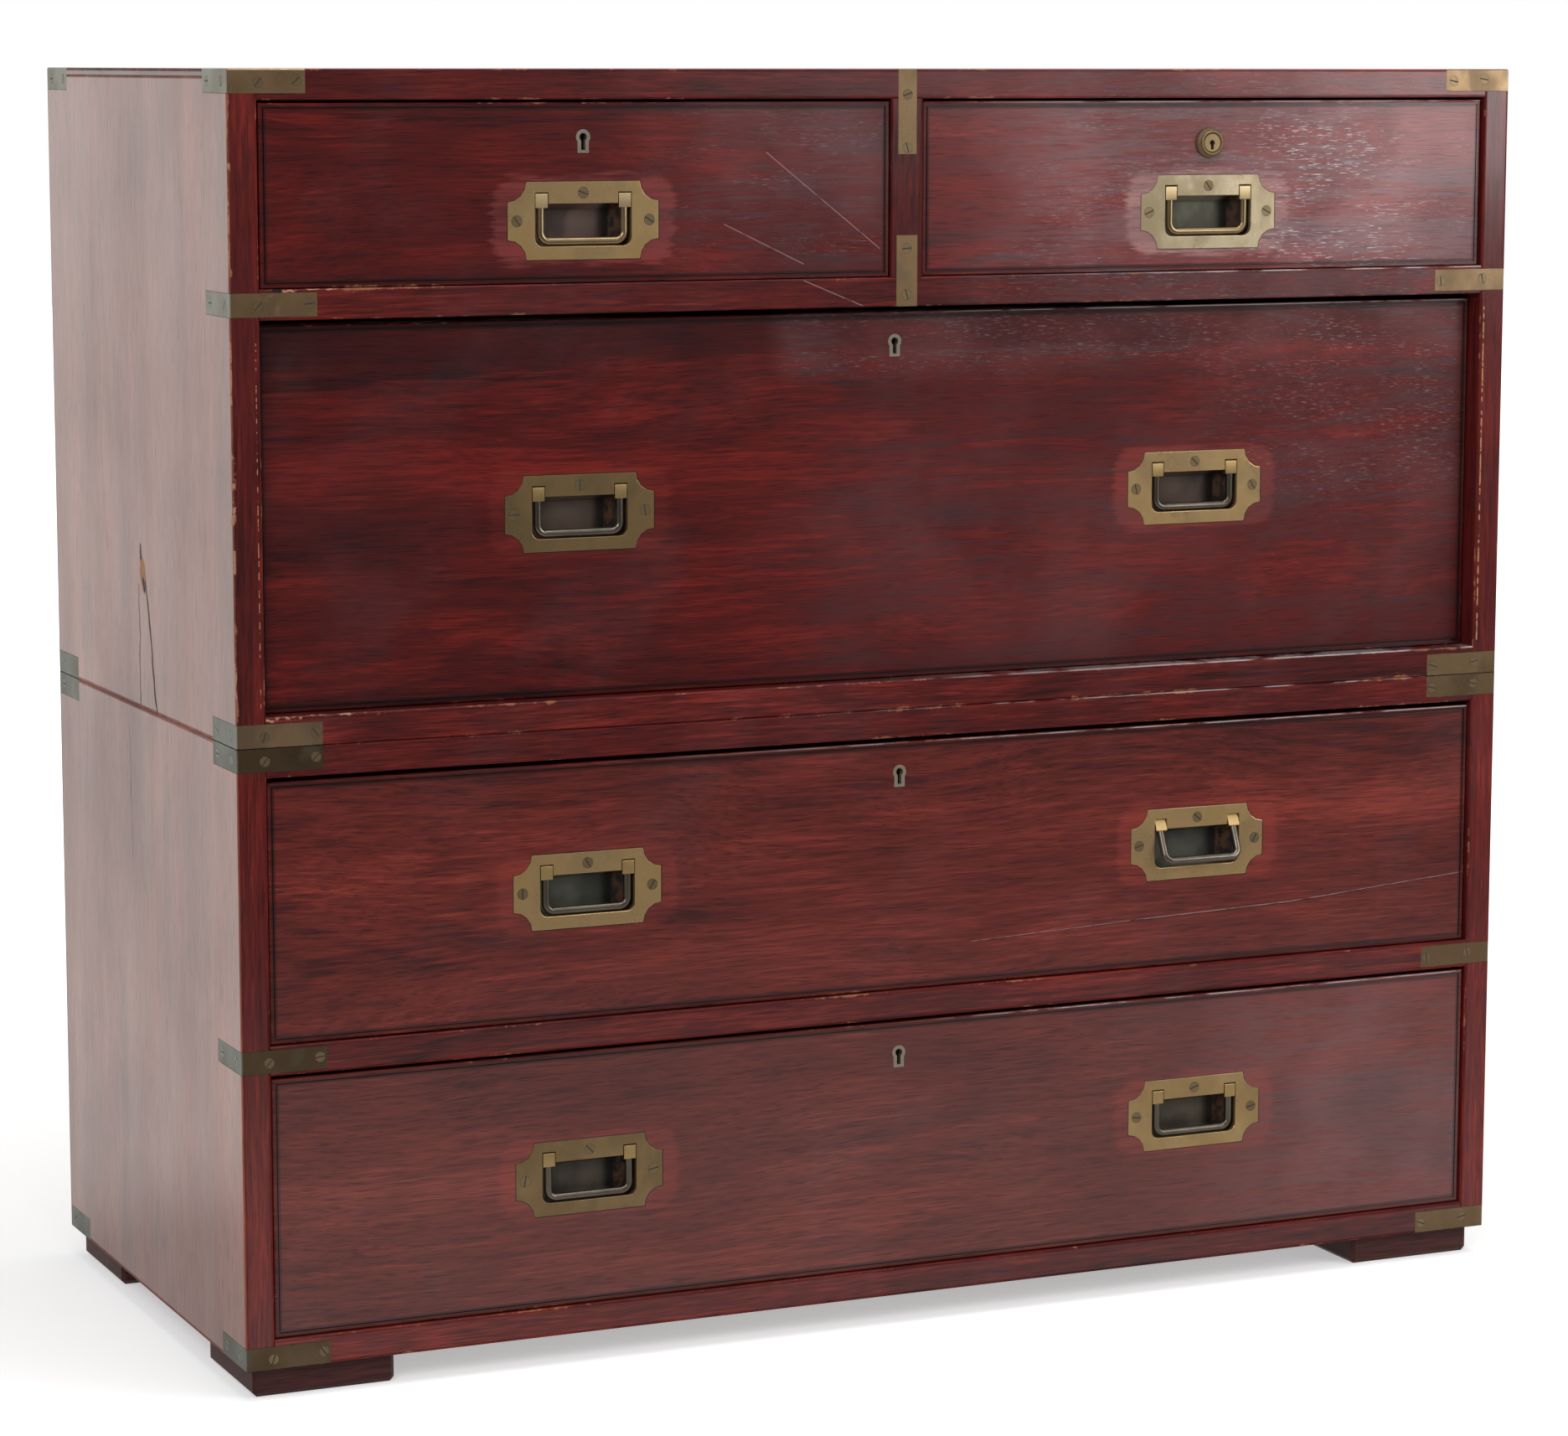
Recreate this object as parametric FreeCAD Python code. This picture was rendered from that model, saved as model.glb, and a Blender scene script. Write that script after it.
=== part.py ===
import FreeCAD, Part
import math
import os

from FreeCAD import Vector

# A campaign chest: two cases that stand one on the other and part for carriage.
# The upper case holds two small drawers over one deep one, the lower case two long ones.
# Brass straps are let into the corners, and every handle and lock lies flush in its drawer.
# Millimetres. X runs along the front, -Y faces the user, Z is up.
# The origin lies on the floor at the middle of the cases' footprint.

# ---------------------------------------------------------------- driving dimensions

# Cases
CASE_WIDTH = 1016.0
CASE_DEPTH = 454.0
BOARD = 21.0                 # every side, shelf and rail
UPPER_HEIGHT = 462.5
LOWER_HEIGHT = 440.0         # without the feet
TOP_OPENING = 127.5          # height of the two small drawers' openings
SPLIT_GAP = 0.3              # the upper case rests on the lower within this
ARRIS = 1.0                  # flat worn on the outer edges
TOP_ARRIS = 0.8              # the same round the top, a little less
HOUSING = 6.0                # how far shelves, rails and runners enter the sides
HOUSING_STOP = 15.0          # plain front shoulder that hides each housing
TOP_LAP = 5.0                # lip of the top board over the ends of the sides

# Inside the cases
RAIL_DEPTH = 60.0
RUNNER_WIDTH = 45.0
CENTRE_RUNNER_WIDTH = 84.0
RUNNER_HEIGHT = 15.0
GUIDE_HEIGHT = 20.0
DIVIDER_WIDTH = 25.5
TENON_HEIGHT = 8.0
TENON_WIDTH = 11.0
STOP_WIDTH = 40.0
STOP_DEPTH = 14.0
STOP_HEIGHT = 5.0
STOP_INSET = 90.0            # from a drawer's end to the middle of its stop
STOP_CLEARANCE = 0.3

# Backs
BACK_BOARD = 12.0
BACK_REBATE = 10.0           # how far the back boards enter the sides
BACK_BOARD_COUNT = 3
BACK_BOARD_GAP = 0.8

# Feet and locating pegs
FOOT_SIDE = 105.0
FOOT_HEIGHT = 22.0
FOOT_INSET_SIDE = 8.0
FOOT_INSET_FRONT = 10.0
FOOT_BEVEL = 3.0
PEG_DIAMETER = 12.0
PEG_RISE = 11.0
PEG_ROOT = 14.0
PEG_INSET_SIDE = 70.0
PEG_INSET_FRONT = 60.0
PEG_CLEARANCE = 0.3          # all round, and above the peg

# Small curves are cut in straight steps, and rods and pegs are many-sided
CURVE_STEP_COUNT = 4         # to a quarter turn
ROD_SIDE_COUNT = 12

# Brass straps and plates, let in flush
STRAP_THICKNESS = 1.8
STRAP_HEIGHT = 16.7
STRAP_FRONT_LEAF = 62.0
STRAP_SIDE_LEAF = 55.0
TOP_STRAP_LEAF = 55.5
DIVIDER_PLATE_TOP_WIDTH = 14.5
DIVIDER_PLATE_TOP_HEIGHT = 60.5
DIVIDER_PLATE_FOOT_WIDTH = 16.5
DIVIDER_PLATE_FOOT_HEIGHT = 51.0

# Drawers
DRAWER_FRONT = 21.0
DRAWER_SIDE = 11.0
DRAWER_BACK = 11.0
DRAWER_BOTTOM = 7.0
BOTTOM_RAISE = 8.0           # underside of the bottom above the drawer's lower edge
BOTTOM_GROOVE = 5.0
SIDE_CLEARANCE = 1.2         # each end of a drawer
UNDER_CLEARANCE = 0.5
SIDE_DROP = 1.5              # sides stand lower than the front
BACK_DROP = 8.0              # the back stands lower than the sides
DEEP_RECESS = 15.5           # the deep drawer has lost its stops and goes back to the boards
BACK_CLEARANCE = 0.4
FRONT_LAP = 5.0              # wood of the front left over the tails
TAIL_PITCH = 44.0
PIN_NARROW = 4.0
TAIL_SLOPE = 7.0
BEAD_WIDTH = 3.0
BEAD_ROUND = 1.2
QUIRK_WIDTH = 0.9
QUIRK_DEPTH = 1.2

# Flush pulls
PULL_INSET = 260.0           # from the cases' ends to the middle of a pull
PLATE_WIDTH = 113.5
PLATE_HEIGHT = 54.5
PLATE_THICKNESS = 2.0
PLATE_NOTCH = 14.0           # radius of the concave corners
BAIL_SPAN = 62.5             # between the middles of the two legs
BAIL_DROP = 28.2             # from the pivot to the middle of the grip
BAIL_ROD = 5.0
BAIL_BEND = 6.5
BAIL_SETBACK = 0.5           # front of the rod behind the plate's face
KNUCKLE_WIDTH = 9.0
KNUCKLE_HEIGHT = 10.0
KNUCKLE_DEPTH = 8.0
KNUCKLE_BEVEL = 1.6          # lets the knuckle turn under the plate
KNUCKLE_BELOW_TONGUE = 3.0
KNUCKLE_CLEARANCE = 0.5
PIVOT_ABOVE_MIDDLE = 13.8
PIVOT_PIN = 3.0
PIVOT_CLEARANCE = 0.05
PIVOT_REACH = 2.6
PIVOT_BOSS = 3.4
CUP_DEPTH = 16.0
CUP_STRAIGHT = 7.0           # depth where the walls start to close in
CUP_WALL = 1.2
CUP_TAPER_SIDE = 12.0
CUP_TAPER_ENDS = 5.0         # at the top and the bottom
CUP_CORNER = 6.0
CUP_FIT = 0.4                # wood clear of the cup
GRIP_CLEARANCE = 1.0         # window below the grip
LIFTED_ANGLE = 26.0          # the one stiff bail stands out by this

# Locks
KEYHOLE_DROP = 26.0          # from an opening's top to the keyhole's middle
KEYHOLE_ROUND = 5.6
KEYHOLE_SLOT = 3.0
KEYHOLE_LENGTH = 9.0
ESCUTCHEON_ROUND = 10.7
ESCUTCHEON_FOOT = 8.4
ESCUTCHEON_LENGTH = 11.0
ESCUTCHEON_DEPTH = 4.0
LOCK_OFFSET = 2.0            # long drawers' locks stand left of the middle
LOCK_CASE_WIDTH = 50.0
LOCK_CASE_DEPTH = 10.0
LOCK_PLATE_WIDTH = 70.0
LOCK_PLATE = 1.8
LOCK_BELOW_KEYHOLE = 17.0
BOLT_WIDTH = 18.0
BOLT_THICKNESS = 5.0
BOLT_THROW = 9.0
BOLT_CLEARANCE = 0.15
MORTISE_CLEARANCE = 0.8
BARREL_DROP = 33.0           # from an opening's top to the round lock's middle
BARREL_DIAMETER = 19.0
COLLAR_DIAMETER = 22.0
COLLAR_PROUD = 5.0
COLLAR_BEVEL = 1.6
PLUG_DIAMETER = 14.6
PLUG_CLEARANCE = 0.05
PLUG_LENGTH = 16.0
PLUG_SLOT_DEPTH = 7.0

# ---------------------------------------------------------------- places that follow

TINY = 1e-4
HALF_WIDTH = CASE_WIDTH / 2
INSIDE = HALF_WIDTH - BOARD
DEEP_OPENING = UPPER_HEIGHT - 3 * BOARD - TOP_OPENING
LONG_OPENING = (LOWER_HEIGHT - 3 * BOARD) / 2
FRONT = -CASE_DEPTH / 2
BACK = CASE_DEPTH / 2
BACK_FACE = BACK - BACK_BOARD
HALF_DIVIDER = DIVIDER_WIDTH / 2

LOWER_BASE = FOOT_HEIGHT
BOTTOM_FLOOR = LOWER_BASE + BOARD
LOWER_RAIL_BASE = BOTTOM_FLOOR + LONG_OPENING
MIDDLE_FLOOR = LOWER_RAIL_BASE + BOARD
LOWER_TOP_BASE = MIDDLE_FLOOR + LONG_OPENING
LOWER_TOP = LOWER_TOP_BASE + BOARD
UPPER_BASE = LOWER_TOP + SPLIT_GAP
DEEP_FLOOR = UPPER_BASE + BOARD
UPPER_RAIL_BASE = DEEP_FLOOR + DEEP_OPENING
TOP_FLOOR = UPPER_RAIL_BASE + BOARD
TOP_BOARD_BASE = TOP_FLOOR + TOP_OPENING
TOP = TOP_BOARD_BASE + BOARD
SIDE_TOP = TOP - TOP_LAP

DRAWER_LENGTH = BACK_FACE - BACK_CLEARANCE - (FRONT + DEEP_RECESS)
BAIL_MIDDLE_Y = BAIL_SETBACK + BAIL_ROD / 2
PIVOT_Y = KNUCKLE_DEPTH / 2
KNUCKLE_TOP = PIVOT_ABOVE_MIDDLE + KNUCKLE_HEIGHT / 2
KNUCKLE_BASE = PIVOT_ABOVE_MIDDLE - KNUCKLE_HEIGHT / 2
WINDOW_TOP = KNUCKLE_BASE + KNUCKLE_BELOW_TONGUE
WINDOW_BASE = PIVOT_ABOVE_MIDDLE - BAIL_DROP - BAIL_ROD / 2 - GRIP_CLEARANCE
WINDOW_HALF = BAIL_SPAN / 2 + KNUCKLE_WIDTH / 2 + KNUCKLE_CLEARANCE
TONGUE_HALF = BAIL_SPAN / 2 - KNUCKLE_WIDTH / 2 - KNUCKLE_CLEARANCE


# Each drawer: its opening (x and z), how far it sits back, the gap above it,
# where its pulls are, how far they sit below its middle, and where its lock is.
class Drawer:
    def __init__(self, name, x, floor, height, recess, top_gap, pulls, pull_drop, lock_x):
        self.name = name
        self.x = (x[0] + SIDE_CLEARANCE, x[1] - SIDE_CLEARANCE)
        self.floor = floor
        self.ceiling = floor + height
        self.z = (floor + UNDER_CLEARANCE, self.ceiling - top_gap)
        self.face = FRONT + recess
        self.back = self.face + DRAWER_LENGTH
        self.inner_face = self.face + DRAWER_FRONT
        self.side_top = self.z[1] - SIDE_DROP
        self.bottom_top = self.z[0] + BOTTOM_RAISE + DRAWER_BOTTOM
        self.pulls = pulls
        self.pull_z = floor + height / 2 - pull_drop
        self.lock_x = lock_x
        self.has_stops = recess < DEEP_RECESS


RIGHT_PULL = HALF_WIDTH - PULL_INSET
SMALL_MIDDLE = (HALF_DIVIDER + INSIDE) / 2
TOP_LEFT = Drawer("top_left_drawer", (-INSIDE, -HALF_DIVIDER), TOP_FLOOR, TOP_OPENING,
                  1.3, 2.0, {"": -SMALL_MIDDLE}, 20.0, -SMALL_MIDDLE)
TOP_RIGHT = Drawer("top_right_drawer", (HALF_DIVIDER, INSIDE), TOP_FLOOR, TOP_OPENING,
                   4.0, 2.0, {"": SMALL_MIDDLE}, 20.0, SMALL_MIDDLE)
DEEP = Drawer("deep_drawer", (-INSIDE, INSIDE), DEEP_FLOOR, DEEP_OPENING,
              DEEP_RECESS, 4.5, {"_left": -RIGHT_PULL, "_right": RIGHT_PULL}, 5.0, -LOCK_OFFSET)
MIDDLE = Drawer("middle_drawer", (-INSIDE, INSIDE), MIDDLE_FLOOR, LONG_OPENING,
                4.0, 3.7, {"_left": -RIGHT_PULL, "_right": RIGHT_PULL}, 1.0, -LOCK_OFFSET)
BOTTOM = Drawer("bottom_drawer", (-INSIDE, INSIDE), BOTTOM_FLOOR, LONG_OPENING,
                3.0, 3.0, {"_left": -RIGHT_PULL, "_right": RIGHT_PULL}, 0.0, -LOCK_OFFSET)
UPPER_DRAWERS = (TOP_LEFT, TOP_RIGHT, DEEP)
LOWER_DRAWERS = (MIDDLE, BOTTOM)
DRAWERS = UPPER_DRAWERS + LOWER_DRAWERS
BARREL_LOCKED = TOP_RIGHT
STIFF_BAIL = "middle_drawer_bail_right"


# ---------------------------------------------------------------- shaping helpers

def block(x, y, z):
    """A square-edged piece between two values on each axis."""
    corner = Vector(min(x), min(y), min(z))
    return Part.makeBox(abs(x[1] - x[0]), abs(y[1] - y[0]), abs(z[1] - z[0]), corner)


def across(middle, width):
    """The two ends of a width about its middle."""
    return (middle - width / 2, middle + width / 2)


def joined(pieces):
    """Several solids glued into one, with their seams taken out."""
    first, rest = pieces[0], pieces[1:]
    return first.fuse(rest).removeSplitter() if rest else first


def mirrored(shape):
    """The same piece on the other end of the chest."""
    return shape.mirror(Vector(0, 0, 0), Vector(1, 0, 0))


def eased(shape, radius, chosen):
    """Round the edges whose middle passes the test."""
    edges = [edge for edge in shape.Edges if chosen(edge.CenterOfMass)]
    return shape.makeFillet(radius, edges)


def bevelled(shape, size, chosen):
    """Take a flat bevel off the edges whose middle passes the test."""
    edges = [edge for edge in shape.Edges if chosen(edge.CenterOfMass)]
    return shape.makeChamfer(size, edges)


def near(value, place):
    return abs(value - place) < TINY


def cut_by(shape, tools):
    """Cut away every tool that reaches the shape."""
    meeting = [tool for tool in tools if shape.BoundBox.intersect(tool.BoundBox)]
    return shape.cut(meeting) if meeting else shape


def arc_points(middle, radius, start, end):
    """Points round a curve in a plane of constant Y, its ends included.

    The angles are in degrees, from +X towards +Z.
    """
    steps = max(1, round(abs(end - start) / 90.0 * CURVE_STEP_COUNT))
    turns = [math.radians(start + (end - start) * step / steps) for step in range(steps + 1)]
    return [middle + Vector(radius * math.cos(turn), 0, radius * math.sin(turn))
            for turn in turns]


def prism(points, run):
    """A closed outline carried along a run."""
    return Part.Face(Part.makePolygon(points + points[:1])).extrude(run)


def rod_outline(middle, radius):
    """The level outline of a rod that runs along Z through its middle."""
    turns = [math.tau * side / ROD_SIDE_COUNT for side in range(ROD_SIDE_COUNT)]
    return [middle + Vector(radius * math.cos(turn), radius * math.sin(turn), 0)
            for turn in turns]


# ---------------------------------------------------------------- brass straps and plates

def corner_strap(side, end, base, front_leaf, side_leaf):
    """An angle let into one corner: side is -1 left or 1 right, end is -1 front or 1 back."""
    outer_x, outer_y = side * HALF_WIDTH, end * BACK
    height = (base, base + STRAP_HEIGHT)
    leaf_one = block((outer_x, outer_x - side * front_leaf),
                     (outer_y, outer_y - end * STRAP_THICKNESS), height)
    leaf_two = block((outer_x, outer_x - side * STRAP_THICKNESS),
                     (outer_y, outer_y - end * side_leaf), height)
    return joined([leaf_one, leaf_two])


def ease_corner(strap, side, end):
    """Take the outer arris off a strap, to follow the worn corner of the case."""
    def on_arris(middle):
        return near(middle.x, side * HALF_WIDTH) and near(middle.y, end * BACK)
    return bevelled(strap, ARRIS, on_arris)


def cap_strap(side, end):
    """The strap at a top corner, with a third leaf of two arms on the top board."""
    angle = corner_strap(side, end, TOP - STRAP_HEIGHT, TOP_STRAP_LEAF, STRAP_SIDE_LEAF)
    outer_x, outer_y = side * HALF_WIDTH, end * BACK
    height = (TOP, TOP - STRAP_THICKNESS)
    arm_one = block((outer_x, outer_x - side * TOP_STRAP_LEAF),
                    (outer_y, outer_y - end * STRAP_HEIGHT), height)
    arm_two = block((outer_x, outer_x - side * STRAP_HEIGHT),
                    (outer_y, outer_y - end * STRAP_SIDE_LEAF), height)
    return joined([angle, arm_one, arm_two])


def ease_cap(strap, side, end):
    """Take off a cap's upright arris and its two top ones, as on the case."""
    def on_top_arris(middle):
        outside = not (abs(middle.x) < HALF_WIDTH - ARRIS and abs(middle.y) < BACK - ARRIS)
        return near(middle.z, TOP) and outside
    return bevelled(ease_corner(strap, side, end), TOP_ARRIS, on_top_arris)


CORNERS = [(side, end) for side in (-1, 1) for end in (-1, 1)]


def rail_strap_base(rail_base):
    return rail_base + (BOARD - STRAP_HEIGHT) / 2


def case_straps(bands, front_bands):
    """Square-edged angles: bands go on all four corners, front_bands on the front two."""
    places = [(side, end, base) for base in bands for side, end in CORNERS]
    places += [(side, -1, base) for base in front_bands for side in (-1, 1)]
    return [(corner_strap(side, end, base, STRAP_FRONT_LEAF, STRAP_SIDE_LEAF), side, end)
            for side, end, base in places]


UPPER_ANGLES = case_straps([UPPER_BASE], [rail_strap_base(UPPER_RAIL_BASE)])
UPPER_CAPS = [(cap_strap(side, end), side, end) for side, end in CORNERS]
LOWER_ANGLES = case_straps([LOWER_TOP - STRAP_HEIGHT, LOWER_BASE],
                           [rail_strap_base(LOWER_RAIL_BASE)])
UPPER_POCKETS = [strap for strap, side, end in UPPER_ANGLES + UPPER_CAPS]
LOWER_POCKETS = [strap for strap, side, end in LOWER_ANGLES]


def upper_corner_straps():
    angles = [ease_corner(*strap) for strap in UPPER_ANGLES]
    caps = [ease_cap(*strap) for strap in UPPER_CAPS]
    return angles + caps


def lower_corner_straps():
    return [ease_corner(*strap) for strap in LOWER_ANGLES]


def divider_plates():
    """The plates that tie the divider to the top board and to the rail."""
    depth = (FRONT, FRONT + STRAP_THICKNESS)
    head = block(across(0, DIVIDER_PLATE_TOP_WIDTH), depth, (TOP - DIVIDER_PLATE_TOP_HEIGHT, TOP))
    foot = block(across(0, DIVIDER_PLATE_FOOT_WIDTH), depth,
                 (UPPER_RAIL_BASE, UPPER_RAIL_BASE + DIVIDER_PLATE_FOOT_HEIGHT))
    return [head, foot]


# ---------------------------------------------------------------- case boards

def front_edges_eased(board):
    """Ease the long front edges of a shelf or rail."""
    return bevelled(board, ARRIS, lambda middle: near(middle.y, FRONT) and near(middle.x, 0))


def housed_board(base, depth):
    """A shelf or rail: plain between the sides at the front, housed in them behind."""
    height = (base, base + BOARD)
    plain = block((-INSIDE, INSIDE), (FRONT, depth), height)
    ends = block((-INSIDE - HOUSING, INSIDE + HOUSING), (FRONT + HOUSING_STOP, depth), height)
    return front_edges_eased(joined([plain, ends]))


def back_boards(base, top):
    """Level boards let into rebates in the sides, with a shrinkage gap between them."""
    pitch = (top - base) / BACK_BOARD_COUNT
    half = INSIDE + BACK_REBATE
    half_gap = BACK_BOARD_GAP / 2
    boards = []
    for row in range(BACK_BOARD_COUNT):
        low = base + row * pitch + (half_gap if row else 0)
        high = base + (row + 1) * pitch - (half_gap if row < BACK_BOARD_COUNT - 1 else 0)
        boards.append(block((-half, half), (BACK_FACE, BACK), (low, high)))
    return boards


def back_rebate(base, top):
    half = INSIDE + BACK_REBATE
    return block((-half, half), (BACK_FACE, BACK), (base, top))


def runners(rail_base, centre):
    """Runners behind a rail, one in each side and for two drawers one in the middle."""
    height = (rail_base + BOARD - RUNNER_HEIGHT, rail_base + BOARD)
    length = (FRONT + RAIL_DEPTH, BACK_FACE)
    right = block((INSIDE - RUNNER_WIDTH, INSIDE + HOUSING), length, height)
    pieces = [right, mirrored(right)]
    if centre:
        guide_height = (rail_base + BOARD, rail_base + BOARD + GUIDE_HEIGHT)
        pieces.append(block(across(0, CENTRE_RUNNER_WIDTH), length, height))
        pieces.append(block(across(0, DIVIDER_WIDTH), length, guide_height))
    return pieces


def stops(drawers):
    """Small blocks that the drawer fronts come up against."""
    pieces = []
    for drawer in drawers:
        if drawer.has_stops:
            near_face = drawer.inner_face + STOP_CLEARANCE
            for place in (drawer.x[0] + STOP_INSET, drawer.x[1] - STOP_INSET):
                pieces.append(block(across(place, STOP_WIDTH), (near_face, near_face + STOP_DEPTH),
                                    (drawer.floor, drawer.floor + STOP_HEIGHT)))
    return pieces


def case_side(base, top, housed, straps):
    """The left side: housed for its shelves, rebated for the back, pocketed for brass."""
    side = block((-HALF_WIDTH, -INSIDE), (FRONT, BACK), (base, top))
    side = bevelled(side, ARRIS, lambda middle: near(middle.z, (base + top) / 2)
                    and (near(middle.y, FRONT) or near(middle.x, -HALF_WIDTH)))
    return side.cut(back_rebate(base, top)).cut(housed).cut(straps)


def top_board():
    """The top laps over the ends of both sides and over the back boards."""
    board = block((-HALF_WIDTH, HALF_WIDTH), (FRONT, BACK), (TOP_BOARD_BASE, TOP))

    def on_arris(middle):
        upright = near(abs(middle.x), HALF_WIDTH) and near(abs(middle.y), BACK)
        below_front = near(middle.z, TOP_BOARD_BASE) and near(middle.y, FRONT)
        return upright or below_front

    board = bevelled(board, ARRIS, on_arris)
    board = bevelled(board, TOP_ARRIS, lambda middle: near(middle.z, TOP))
    over_side = block((-HALF_WIDTH, -INSIDE), (FRONT, BACK), (TOP_BOARD_BASE, SIDE_TOP))
    rebate = block((-HALF_WIDTH, HALF_WIDTH), (BACK_FACE, BACK), (TOP_BOARD_BASE, SIDE_TOP))
    return board.cut([over_side, mirrored(over_side), rebate])


def drawer_divider():
    """The upright between the small drawers, with a stub tenon at each end."""
    post = block(across(0, DIVIDER_WIDTH), (FRONT, FRONT + RAIL_DEPTH), (TOP_FLOOR, TOP_BOARD_BASE))
    post = bevelled(post, ARRIS, lambda middle: near(middle.y, FRONT)
                    and near(middle.z, (TOP_FLOOR + TOP_BOARD_BASE) / 2))
    tenon = block(across(0, TENON_WIDTH), (FRONT + HOUSING_STOP, FRONT + RAIL_DEPTH - HOUSING_STOP),
                  (TOP_FLOOR - TENON_HEIGHT, TOP_BOARD_BASE + TENON_HEIGHT))
    return joined([post, tenon])


def foot_block(side, end):
    """A square block under one corner, bevelled on its uprights and round its foot."""
    outer_x = side * (HALF_WIDTH - FOOT_INSET_SIDE)
    outer_y = end * (BACK - FOOT_INSET_FRONT)
    foot = block((outer_x, outer_x - side * FOOT_SIDE), (outer_y, outer_y - end * FOOT_SIDE),
                 (0, FOOT_HEIGHT))
    return bevelled(foot, FOOT_BEVEL, lambda middle: middle.z < FOOT_HEIGHT - TINY)


def upright_rods(radius, low, high):
    """One upright rod at each of the four pegs' places."""
    places = [Vector(side * (HALF_WIDTH - PEG_INSET_SIDE), end * (BACK - PEG_INSET_FRONT), low)
              for side, end in CORNERS]
    return [prism(rod_outline(place, radius), Vector(0, 0, high - low)) for place in places]


def pegs():
    """Pegs that locate the upper case, set in the top of the lower one."""
    return upright_rods(PEG_DIAMETER / 2, LOWER_TOP - PEG_ROOT, LOWER_TOP + PEG_RISE)


def peg_sockets():
    return upright_rods(PEG_DIAMETER / 2 + PEG_CLEARANCE, UPPER_BASE,
                        LOWER_TOP + PEG_RISE + PEG_CLEARANCE)


# ---------------------------------------------------------------- locks

def keyhole(round_size, slot_size, length, depth):
    """A keyhole prism from the front face inwards, its round part about the axis."""
    radius, half_slot = round_size / 2, slot_size / 2
    neck = math.degrees(math.asin(half_slot / radius))
    points = arc_points(Vector(0, 0, 0), radius, neck - 90, 270 - neck)
    points += [Vector(-half_slot, 0, -length), Vector(half_slot, 0, -length)]
    return prism(points, Vector(0, depth, 0))


def lock_place(drawer):
    drop = BARREL_DROP if drawer is BARREL_LOCKED else KEYHOLE_DROP
    return Vector(drawer.lock_x, drawer.face, drawer.ceiling - drop)


def lock_body(drawer):
    """The case let into the back of the front, its plate and its strip in the top edge."""
    place = lock_place(drawer)
    inner = drawer.inner_face
    low = place.z - LOCK_BELOW_KEYHOLE
    high = drawer.z[1]
    case = block(across(place.x, LOCK_CASE_WIDTH), (inner - LOCK_CASE_DEPTH, inner), (low, high))
    plate = block(across(place.x, LOCK_PLATE_WIDTH), (inner - LOCK_PLATE, inner),
                  (low - LOCK_PLATE * 2, high))
    strip = block(across(place.x, LOCK_PLATE_WIDTH), (inner - LOCK_CASE_DEPTH, inner),
                  (high - LOCK_PLATE, high))
    return joined([case, plate, strip])


def bolt(drawer, clearance):
    """The bolt at rest, its head level with the front's top edge, or its way in the case."""
    place = lock_place(drawer)
    middle_y = drawer.inner_face - LOCK_CASE_DEPTH / 2
    return block(across(place.x, BOLT_WIDTH + 2 * clearance),
                 across(middle_y, BOLT_THICKNESS + 2 * clearance),
                 (place.z - clearance, drawer.z[1] + (BOLT_THROW if clearance else 0)))


def mortise(drawer):
    """The hole in the rail above a drawer that its bolt enters."""
    middle_y = drawer.inner_face - LOCK_CASE_DEPTH / 2
    height = BOLT_THROW + MORTISE_CLEARANCE
    return block(across(drawer.lock_x, BOLT_WIDTH + 2 * MORTISE_CLEARANCE),
                 across(middle_y, BOLT_THICKNESS + 2 * MORTISE_CLEARANCE),
                 (drawer.ceiling, drawer.ceiling + height))


def key_way(drawer):
    """A plain slot through the wood and the lock's case, in front of the bolt."""
    depth = DRAWER_FRONT - LOCK_CASE_DEPTH / 2 - BOLT_THICKNESS / 2 - BOLT_CLEARANCE
    way = block(across(0, KEYHOLE_ROUND), (ESCUTCHEON_DEPTH, depth),
                (-KEYHOLE_LENGTH, KEYHOLE_ROUND / 2))
    return way.translated(lock_place(drawer))


def escutcheon_blank(drawer):
    outer = keyhole(ESCUTCHEON_ROUND, ESCUTCHEON_FOOT, ESCUTCHEON_LENGTH, ESCUTCHEON_DEPTH)
    return outer.translated(lock_place(drawer))


def escutcheon(drawer):
    """A brass thread that lines the keyhole, flush with the front."""
    hole = keyhole(KEYHOLE_ROUND, KEYHOLE_SLOT, KEYHOLE_LENGTH, ESCUTCHEON_DEPTH)
    return escutcheon_blank(drawer).cut(hole.translated(lock_place(drawer)))


def turned(radius, low, high, place):
    """A round piece along Y, from low to high behind a place on the front."""
    return Part.makeCylinder(radius, high - low, place + Vector(0, low, 0), Vector(0, 1, 0))


def sleeve(drawer):
    """The hidden part of the round lock's barrel, through the wood to the lock's case."""
    points = arc_points(lock_place(drawer), BARREL_DIAMETER / 2, 0, 360)[:-1]
    return prism(points, Vector(0, DRAWER_FRONT - LOCK_CASE_DEPTH, 0))


def plug_back():
    return PLUG_LENGTH - COLLAR_PROUD


def barrel(drawer):
    """The sleeve and collar of the round lock."""
    place = lock_place(drawer)
    collar = turned(COLLAR_DIAMETER / 2, -COLLAR_PROUD, 0, place)
    rim = place.y - COLLAR_PROUD
    collar = collar.makeChamfer(COLLAR_BEVEL, [edge for edge in collar.Edges
                                               if near(edge.BoundBox.YMax, rim)])
    return joined([collar, sleeve(drawer)])


def plug_space(drawer, clearance):
    place = lock_place(drawer)
    return turned(PLUG_DIAMETER / 2 + clearance, -COLLAR_PROUD, plug_back() + clearance, place)


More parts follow.
